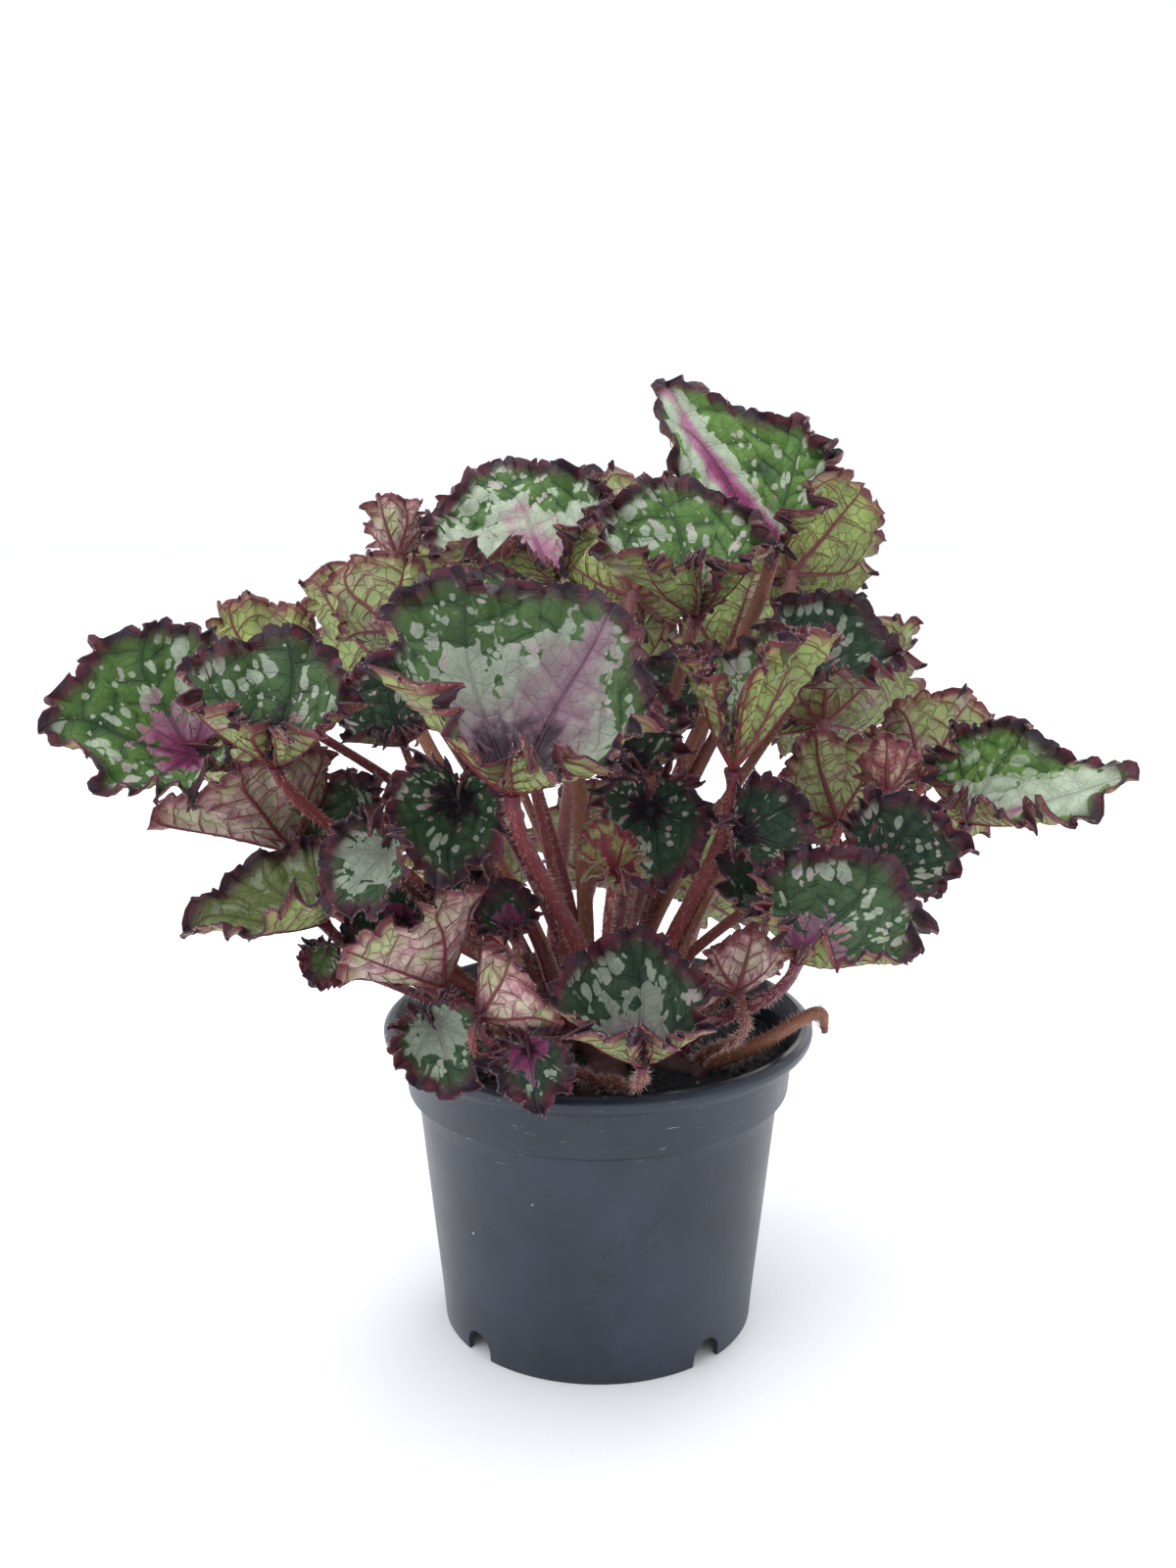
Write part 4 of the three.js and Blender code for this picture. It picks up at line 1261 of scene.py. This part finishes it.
def soil_profile():
    """Half of the soil's section, with many rings on its surface."""
    foot, step_foot, collar_foot, lip_foot = inner_wall(SOIL.gap)
    climb = (SOIL.edge_height - collar_foot[1]) / (lip_foot[1] - collar_foot[1])
    edge = collar_foot[0] + climb * (lip_foot[0] - collar_foot[0])
    rings = range(SOIL.rings, -1, -1)
    surface = [(edge * ring / SOIL.rings, SOIL.edge_height) for ring in rings]
    return [
        (0, POT.wall + SOIL.gap),
        (POT.well_radius - POT.wall - SOIL.gap, POT.wall + SOIL.gap),
        (POT.well_radius - SOIL.gap, POT.floor_height + SOIL.gap),
        foot,
        step_foot,
        collar_foot,
        *surface,
    ]


class BEGONIA_OT_soil(bpy.types.Operator):
    """Fills the pot with lumpy soil and strews crumbs on it"""

    bl_idname = "begonia.soil"
    bl_label = "Soil"

    def execute(self, context):
        settings = context.scene.begonia_soil
        soil = spun(soil_profile(), 160, 0.0)
        mesh = soil.data
        points = coordinates(mesh)
        top = points[:, 2] > (SOIL.edge_height - 0.01) * MM
        lifted = soil_height(points[:, 0] / MM, points[:, 1] / MM) * MM
        points[:, 2] = np.where(top, lifted, points[:, 2])
        set_coordinates(mesh, points)
        group = soil.vertex_groups.new(name="surface")
        inner = np.hypot(points[:, 0], points[:, 1]) < SOIL.lumpy * MM
        group.add([int(place) for place in np.nonzero(top & inner)[0]], 1.0, "ADD")
        for name, scale, strength in (("lumps", 9 * MM, 1.0), ("crumb", 2.5 * MM, 0.7)):
            clouds = bpy.data.textures.new(name, "CLOUDS")
            clouds.noise_scale = scale
            apply_modifier(
                soil, "DISPLACE", texture=clouds, strength=settings.lumps * strength, mid_level=0.5,
                direction="Z", vertex_group="surface", texture_coords="LOCAL",
            )
        point_colours(mesh, "pale", np.zeros((len(mesh.vertices), 4)))
        peat = soil_peat(coded(settings, ("peat", "fleck")))
        mesh.materials.append(peat)
        joined(soil, [self.crumbs(settings, peat)])
        finished(soil, "soil_bed", "potting_soil", "soil")
        return {"FINISHED"}

    def crumbs(self, settings, peat):
        """One crumb, copied all over the surface at many sizes."""
        bpy.ops.mesh.primitive_ico_sphere_add(subdivisions=1, radius=1)
        shape, sides = pattern(bpy.context.object)
        rng = np.random.default_rng(SEED)
        points = []
        faces = []
        pale = []
        for crumb in range(settings.crumbs):
            out = SOIL.strewn * math.sqrt(rng.random())
            angle = TURN * rng.random()
            x, y = out * math.cos(angle), out * math.sin(angle)
            size = CRUMB.least + CRUMB.larger * rng.random() ** 3
            squash = np.array([1.0, 0.4 + 0.6 * rng.random(), 0.3 + 0.6 * rng.random()])
            turned = Matrix.Rotation(TURN * rng.random(), 3, "Z")
            turned = turned @ Matrix.Rotation(rng.random(), 3, "X")
            uneven = 1 + CRUMB.uneven * (rng.random((len(shape), 1)) - 0.5)
            local = (shape * uneven * squash * size) @ np.array(turned).T
            base = crumb * len(shape)
            points.append(local + (x, y, float(soil_height(x, y)) + CRUMB.lift))
            faces += [[corner + base for corner in side] for side in sides]
            fleck = CRUMB.pale if rng.random() > 1 - CRUMB.pale_share else 0.25 * rng.random()
            pale.append(np.full(len(shape), fleck))
        made = from_arrays("crumbs", np.concatenate(points), faces, peat)
        values = np.zeros((len(made.data.vertices), 4))
        values[:, 0] = np.concatenate(pale)
        point_colours(made.data, "pale", values)
        return made


# ------------------------------------------------------------------ rhizome and stalks


def bezier(corners, share):
    """Points of a cubic Bezier curve."""
    share = np.asarray(share)[:, None]
    one, two, three, four = (np.array(corner)[None, :] for corner in corners)
    rest = 1 - share
    return (
        rest**3 * one + 3 * rest**2 * share * two + 3 * rest * share**2 * three + share**3 * four
    )


def stalk_root(blade):
    """Where a stalk springs from the rhizome's nearest branch."""
    heading = math.degrees(math.atan2(blade.at.y - RHIZOME_MIDDLE[1], blade.at.x))
    away = [abs((heading - branch[0] + 540) % 360 - 180) for branch in BRANCHES]
    _, via, end = BRANCHES[away.index(min(away))]
    outwards = min(0.9, max(0.1, 1.05 - (blade.at.z - POT.height) / STALK.highest))
    middle, via, end = Vector(RHIZOME_MIDDLE), Vector(via), Vector(end)
    first = (via - middle).length
    second = (end - via).length
    walked = outwards * (first + second)
    if walked < first:
        return middle.lerp(via, walked / first)
    return via.lerp(end, (walked - first) / second)


def stalk_corners(blade):
    """The four corners of a stalk's Bezier curve."""
    root = stalk_root(blade)
    down = -Vector(blade.matrix[:, 2]).normalized()
    end = blade.at + down * 0.1
    below = blade.at + down * STALK.approach + Vector(blade.bow)
    rise = root + Vector((0, 0, blade.rise * (blade.at.z - root.z)))
    return root, rise, below, end


def stalk_radius(blade):
    """The solid's radius, and a little more for its skin."""
    return min(STALK.thick, max(STALK.thin, blade.length * STALK.girth)) * STALK.skin


def stalk_radii(blade, shares):
    """Radii along a stalk, which flares at both ends and is faintly knobbly."""
    foot = STALK.foot_flare * np.exp(-((shares / 0.05) ** 2))
    top = STALK.top_flare * np.exp(-(((1 - shares) / 0.025) ** 2))
    knobs = 1 + STALK.knobs * np.sin(shares * 40 + blade.seed)
    taper = 1 + STALK.taper * (0.5 - shares)
    return stalk_radius(blade) * taper * ((1 + foot + top) * knobs)


FUR = SimpleNamespace(
    first=0.06, last=0.985, rooted=0.96, lean=(-0.5, 0.3), lengths=(0.5, 1.15), width=0.09,
)


class BEGONIA_OT_stalks(bpy.types.Operator):
    """Grows the rhizome, the leaf stalks and the hairs on them"""

    bl_idname = "begonia.stalks"
    bl_label = "Rhizome and stalks"

    def execute(self, context):
        settings = context.scene.begonia_stalks
        skin = stalk_skin(coded(settings, ("red", "dark_red", "tan")))
        paths = []
        tones = []
        steps = 40
        shares = np.linspace(0, 1, steps)
        for row in BLADE_ROWS:
            blade = blade_from(row, context.scene.begonia_blades)
            paths.append((bezier(stalk_corners(blade), shares), stalk_radii(blade, shares)))
            tan = 0.9 if chance(blade.seed, 7) > 0.66 else 0.3 * chance(blade.seed, 8)
            tones.append((tan, chance(blade.seed, 9) ** 1.5 * 0.95, 0.0))
        cut_radii = np.interp(shares, [0, 0.8, 0.9, 1], [2.5, 1.9, 1.3, 1.0])
        paths.append((smooth_route(CUT_STALK, steps), cut_radii))
        tones.append((1.0, 0.0, 0.1))
        stems = self.stems(paths, tones, skin)
        pieces = [self.branches(skin)]
        pieces.append(self.fur(paths, settings))
        joined(stems, pieces)
        finished(stems, "stalks_and_rhizome", "leaf_stalk", "rhizome_and_stalks")
        return {"FINISHED"}

    def stems(self, paths, tones, skin):
        """All the stalks in one mesh, with a UV map that runs along each. A tone is how tan, purple
        and brown a stalk is."""
        angles = TURN * np.arange(STALK.sides) / STALK.sides
        rings = []
        along = []
        tints = []
        base = 0
        for (places, radii), (tan, purple, brown) in zip(paths, tones):
            flutes = 1 + STALK.flute_depth * np.cos(STALK.flutes * angles + base)
            rings.append((places, STALK_SIDEWAYS, radii[:, None] * flutes))
            steps = np.linalg.norm(np.diff(places, axis=0), axis=1)
            walked = np.concatenate([[0], np.cumsum(steps)]) / 10
            laps = np.tile(angles / TURN + base, len(places))
            along.append(np.stack([laps, np.repeat(walked, STALK.sides)], axis=-1))
            left = 1 - np.linspace(0, 1, len(places))
            fade = np.exp(-((left / STALK.fade) ** 2))
            same = np.ones(len(places))
            tint = [tan * (1 - fade), np.maximum(purple, fade), brown * same, same]
            tints.append(np.repeat(np.stack(tint, axis=-1), STALK.sides, axis=0))
            base += len(places) * STALK.sides
        made = rods("stems", rings, STALK.sides, skin)
        uv_map(made.data, "stalk", np.concatenate(along))
        point_colours(made.data, "stalk_tone", np.concatenate(tints))
        return made

    def branches(self, skin):
        """The rhizome's branches: knobbly, scarred and half sunk in the soil."""
        share = np.linspace(0, 1, RHIZOME.steps)
        scars = 1 + 0.09 * np.cos(share * 6 * math.pi) + 0.035 * np.cos(share * 70)
        end_cap = np.sqrt(np.clip((1 - share) / 0.07, 0.02, 1))
        radii = RHIZOME.radius * (1 - RHIZOME.taper * share) * scars * end_cap
        up = np.array([0.0, 0.0, 1.0])
        paths = []
        for _, via, end in BRANCHES:
            route = smooth_route((RHIZOME_MIDDLE, via, end), RHIZOME.steps)
            paths.append((route, up, radii))
        made = rods("rhizome", paths, RHIZOME.sides, skin)
        uv_map(made.data, "stalk", coordinates(made.data)[:, :2] * 100)
        tint = np.tile(np.array([0.4, 0.3, 0.85, 1.0]), (len(made.data.vertices), 1))
        point_colours(made.data, "stalk_tone", tint)
        return made

    def fur(self, paths, settings):
        """Fine hairs that stand out all round each stalk."""
        rng = np.random.default_rng(SEED)
        roots, ways, lengths = [], [], []
        for places, radii in paths:
            ahead = unit(np.gradient(places, axis=0))
            for _ in range(settings.hairs):
                spot = rng.uniform(FUR.first, FUR.last) * (len(places) - 1)
                step = int(spot)
                part = spot - step
                place = places[step] * (1 - part) + places[min(step + 1, len(places) - 1)] * part
                loose = rng.normal(size=3)
                out = loose - ahead[step] * loose.dot(ahead[step])
                out /= np.linalg.norm(out) + 1e-9
                roots.append(place + out * radii[step] * FUR.rooted)
                ways.append(out + ahead[step] * rng.uniform(*FUR.lean))
                lengths.append(settings.hair / MM * rng.uniform(*FUR.lengths))
        roots, ways, lengths = np.array(roots), np.array(ways), np.array(lengths)
        return hairs("stalk_fur", roots, ways, lengths, FUR.width, hair_skin())


def smooth_route(corners, count):
    """Places on a smooth curve through the corners."""
    knots = np.array(corners)
    before = 2 * knots[0] - knots[1]
    after = 2 * knots[-1] - knots[-2]
    padded = np.vstack([before, knots, after])
    places = []
    for spot in np.linspace(0, len(knots) - 1, count):
        step = min(int(spot), len(knots) - 2)
        part = spot - step
        one, two, three, four = padded[step : step + 4]
        places.append(
            0.5 * (2 * two + (three - one) * part + (2 * one - 5 * two + 4 * three - four) * part**2
                   + (3 * two - one - 3 * three + four) * part**3)
        )
    return np.array(places)


# ------------------------------------------------------------------ blades

RING_SPREAD = 1.35  # over 1, it crowds the rings of the grid towards the margin
COAT_EDGE = 7  # mm over which a colour fades to the side of the midrib
RIB = SimpleNamespace(
    usual=65, sides=5, start=0.02, stop=0.96, main=(0.7, 0.16), side=(0.22, 0.1), apart=0.46,
    least_start=0.06, last_start=0.9, highest=0.97,
)
FRINGE = SimpleNamespace(
    each_mm=9, least=80, widest=3.0, scatter=0.45, lift=0.2, rooted=0.3, lengths=(0.4, 1.1),
    width=0.08,
)


class BEGONIA_OT_blades(bpy.types.Operator):
    """Shapes every leaf blade, with its ribs and the hairs of its margin"""

    bl_idname = "begonia.blades"
    bl_label = "Leaf blades"

    def execute(self, context):
        settings = context.scene.begonia_blades
        looks = coded(settings, BLADE_COLOURS)
        looks.glow = settings.glow
        skins = (leaf_upper(looks), leaf_under(looks))
        rib = leaf_rib(looks)
        for row in BLADE_ROWS:
            blade = blade_from(row, settings)
            piece = self.sheet(blade, settings, skins)
            extras = [self.ribs(blade, settings, rib)]
            extras.append(self.fringe(blade, settings))
            joined(piece, extras)
            finished(piece, "blade_" + blade.name, "leaf_blade", "leaf_" + blade.name)
        return {"FINISHED"}

    def sheet(self, blade, settings, skins):
        """A grid wrapped round the stalk, from the middle out to the margin, and thickened."""
        deselect()
        bpy.ops.mesh.primitive_grid_add(
            x_subdivisions=blade.rings, y_subdivisions=blade.spokes, size=2, calc_uvs=False
        )
        piece = bpy.context.object
        mesh = piece.data
        grid = coordinates(mesh)
        across = (grid[:, 0] + 1) / 2
        share = 1 - (1 - across) ** RING_SPREAD
        turn = grid[:, 1] * np.pi
        points, looks = blade_surface(blade, turn, share)
        points = points + looks * pucker(blade, turn, share)[:, None]
        set_coordinates(mesh, points * MM)
        self.colour_fields(blade, mesh, turn, share)
        for skin in skins:
            mesh.materials.append(skin)
        edit(piece, merge_doubles)
        apply_modifier(
            piece, "SOLIDIFY", thickness=settings.thickness, offset=0.0, use_rim=True,
            material_offset=1, material_offset_rim=0, use_quality_normals=True,
        )
        return piece

    def colour_fields(self, blade, mesh, turn, share):
        """The maps and attributes that the two skins read."""
        sector, step = vein_place(blade, turn, share)
        uv_map(mesh, "veins", np.stack([sector, step], axis=-1))
        radius = outline_reach(blade, turn) * share * blade.length
        flat = np.stack([np.cos(turn), np.sin(turn)], axis=-1) * radius[:, None] / 10
        uv_map(mesh, "flat", flat + 40 * chance(blade.seed, 5))
        coat = blade.coat
        ribbed = 1 + 0.08 * np.cos(LOBES.count * turn) + 0.1 * np.sin(2 * turn + blade.seed)
        aside = np.where(np.cos(turn) > 0, np.abs(np.sin(turn)), 1) * radius
        silver = coat.silver * ribbed - share - np.maximum(0, aside - coat.band) / COAT_EDGE
        pink = coat.pink * (1 + 0.12 * np.cos(2 * turn + blade.seed)) - share
        pink = pink - np.maximum(0, aside - 0.4 * coat.band) / COAT_EDGE
        along_midrib = coat.stripe - aside / blade.length - 0.25 * share
        pink = np.maximum(pink, along_midrib)
        silver = silver + 0.5 * np.maximum(0, along_midrib)
        heart = coat.heart * ribbed - share
        blank = np.ones(len(share))
        # The pattern's fourth number is dusk, painted shade, and the tint's first is light, painted
        # light.
        point_colours(mesh, "pattern", np.stack([silver, pink, heart, blank * coat.dusk], axis=-1))
        tint = np.array([coat.light, coat.spots, coat.blush, coat.young])
        point_colours(mesh, "tint", np.tile(tint, (len(share), 1)))
        spacing = blank * blade.length / blade.grade.side_veins
        margin = outline_reach(blade, turn) * (1 - share) * blade.length
        point_colours(mesh, "reach", np.stack([share, radius, spacing, margin], axis=-1))

    def ribs(self, blade, settings, skin):
        """Raised veins below: one to each lobe, and the side veins that climb from them."""
        paths = []
        sector_angle = TURN / LOBES.count
        size = blade.length / RIB.usual
        under = settings.thickness / MM * 0.5
        shares = np.linspace(RIB.start, RIB.stop, 26)

        def add(turns, distances, radii):
            places, ups = blade_surface(blade, turns, distances)
            paths.append((places - ups * under, ups, radii))

        for lobe in range(LOBES.count):
            middle = (lobe + 0.5 - LOBES.count / 2) * sector_angle
            sway = vein_place(blade, np.full_like(shares, middle), shares)[0] - lobe - 0.5
            turns = middle - sway * sector_angle
            add(turns, shares, np.interp(shares, [0, 1], RIB.main) * (0.35 + 0.65 * size))
            for hand in (-1, 1):
                for rung in range(1, blade.grade.side_veins + 1):
                    start = (rung - 0.5 - 0.5 * (hand > 0)) / blade.grade.side_veins + 0.02
                    if start > RIB.last_start or start < RIB.least_start:
                        continue
                    apart = np.linspace(0.0, RIB.apart, 9)
                    climbed = start + apart * BRANCHING / blade.grade.side_veins
                    keep = climbed < RIB.highest
                    if keep.sum() < 3:
                        continue
                    apart, climbed = apart[keep], climbed[keep]
                    guess = middle + hand * apart * sector_angle
                    for _ in range(2):
                        place, step = vein_place(blade, guess, climbed)
                        guess = guess - (place - (lobe + 0.5 + hand * apart)) * sector_angle
                    radii = np.interp(apart, [0, RIB.apart], RIB.side) * (0.4 + 0.6 * size)
                    add(guess, climbed, radii)
        return rods("ribs", paths, RIB.sides, skin)

    def fringe(self, blade, settings):
        """Fine hairs all along the margin."""
        rng = np.random.default_rng(blade.seed)
        number = int(blade.length * FRINGE.each_mm) + FRINGE.least
        turns = rng.uniform(-FRINGE.widest, FRINGE.widest, number)
        ends = np.ones(number)
        tips, looks = blade_surface(blade, turns, ends)
        outwards = unit(tips - blade_surface(blade, turns, ends - 0.03)[0])
        ways = outwards + FRINGE.scatter * rng.normal(size=(number, 3)) + FRINGE.lift * looks
        lengths = settings.hair / MM * rng.uniform(*FRINGE.lengths, number)
        roots = tips - FRINGE.rooted * outwards
        return hairs("fringe", roots, ways, lengths, FRINGE.width, hair_skin())


# ------------------------------------------------------------------ panel and registration


class BEGONIA_PT_maker(bpy.types.Panel):
    """Lists the makers of the begonia's pieces"""

    bl_idname = "BEGONIA_PT_maker"
    bl_label = "Potted begonia"
    bl_space_type = "VIEW_3D"
    bl_region_type = "UI"
    bl_category = "Begonia"

    def draw(self, context):
        for operator in OPERATORS:
            self.layout.operator(operator.bl_idname)


SETTINGS = {
    "begonia_stage": BegoniaStageSettings,
    "begonia_pot": BegoniaPotSettings,
    "begonia_soil": BegoniaSoilSettings,
    "begonia_stalks": BegoniaStalkSettings,
    "begonia_blades": BegoniaBladeSettings,
}
OPERATORS = (
    BEGONIA_OT_stage,
    BEGONIA_OT_pot,
    BEGONIA_OT_soil,
    BEGONIA_OT_stalks,
    BEGONIA_OT_blades,
)


def register():
    for name, group in SETTINGS.items():
        bpy.utils.register_class(group)
        setattr(bpy.types.Scene, name, PointerProperty(type=group))
    for operator in OPERATORS:
        bpy.utils.register_class(operator)
    bpy.utils.register_class(BEGONIA_PT_maker)


def unregister():
    bpy.utils.unregister_class(BEGONIA_PT_maker)
    for operator in reversed(OPERATORS):
        bpy.utils.unregister_class(operator)
    for name, group in reversed(SETTINGS.items()):
        delattr(bpy.types.Scene, name)
        bpy.utils.unregister_class(group)


def main():
    register()
    bpy.ops.begonia.stage()
    bpy.ops.begonia.pot()
    bpy.ops.begonia.soil()
    bpy.ops.begonia.stalks()
    bpy.ops.begonia.blades()
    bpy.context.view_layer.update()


if __name__ == "__main__":
    main()
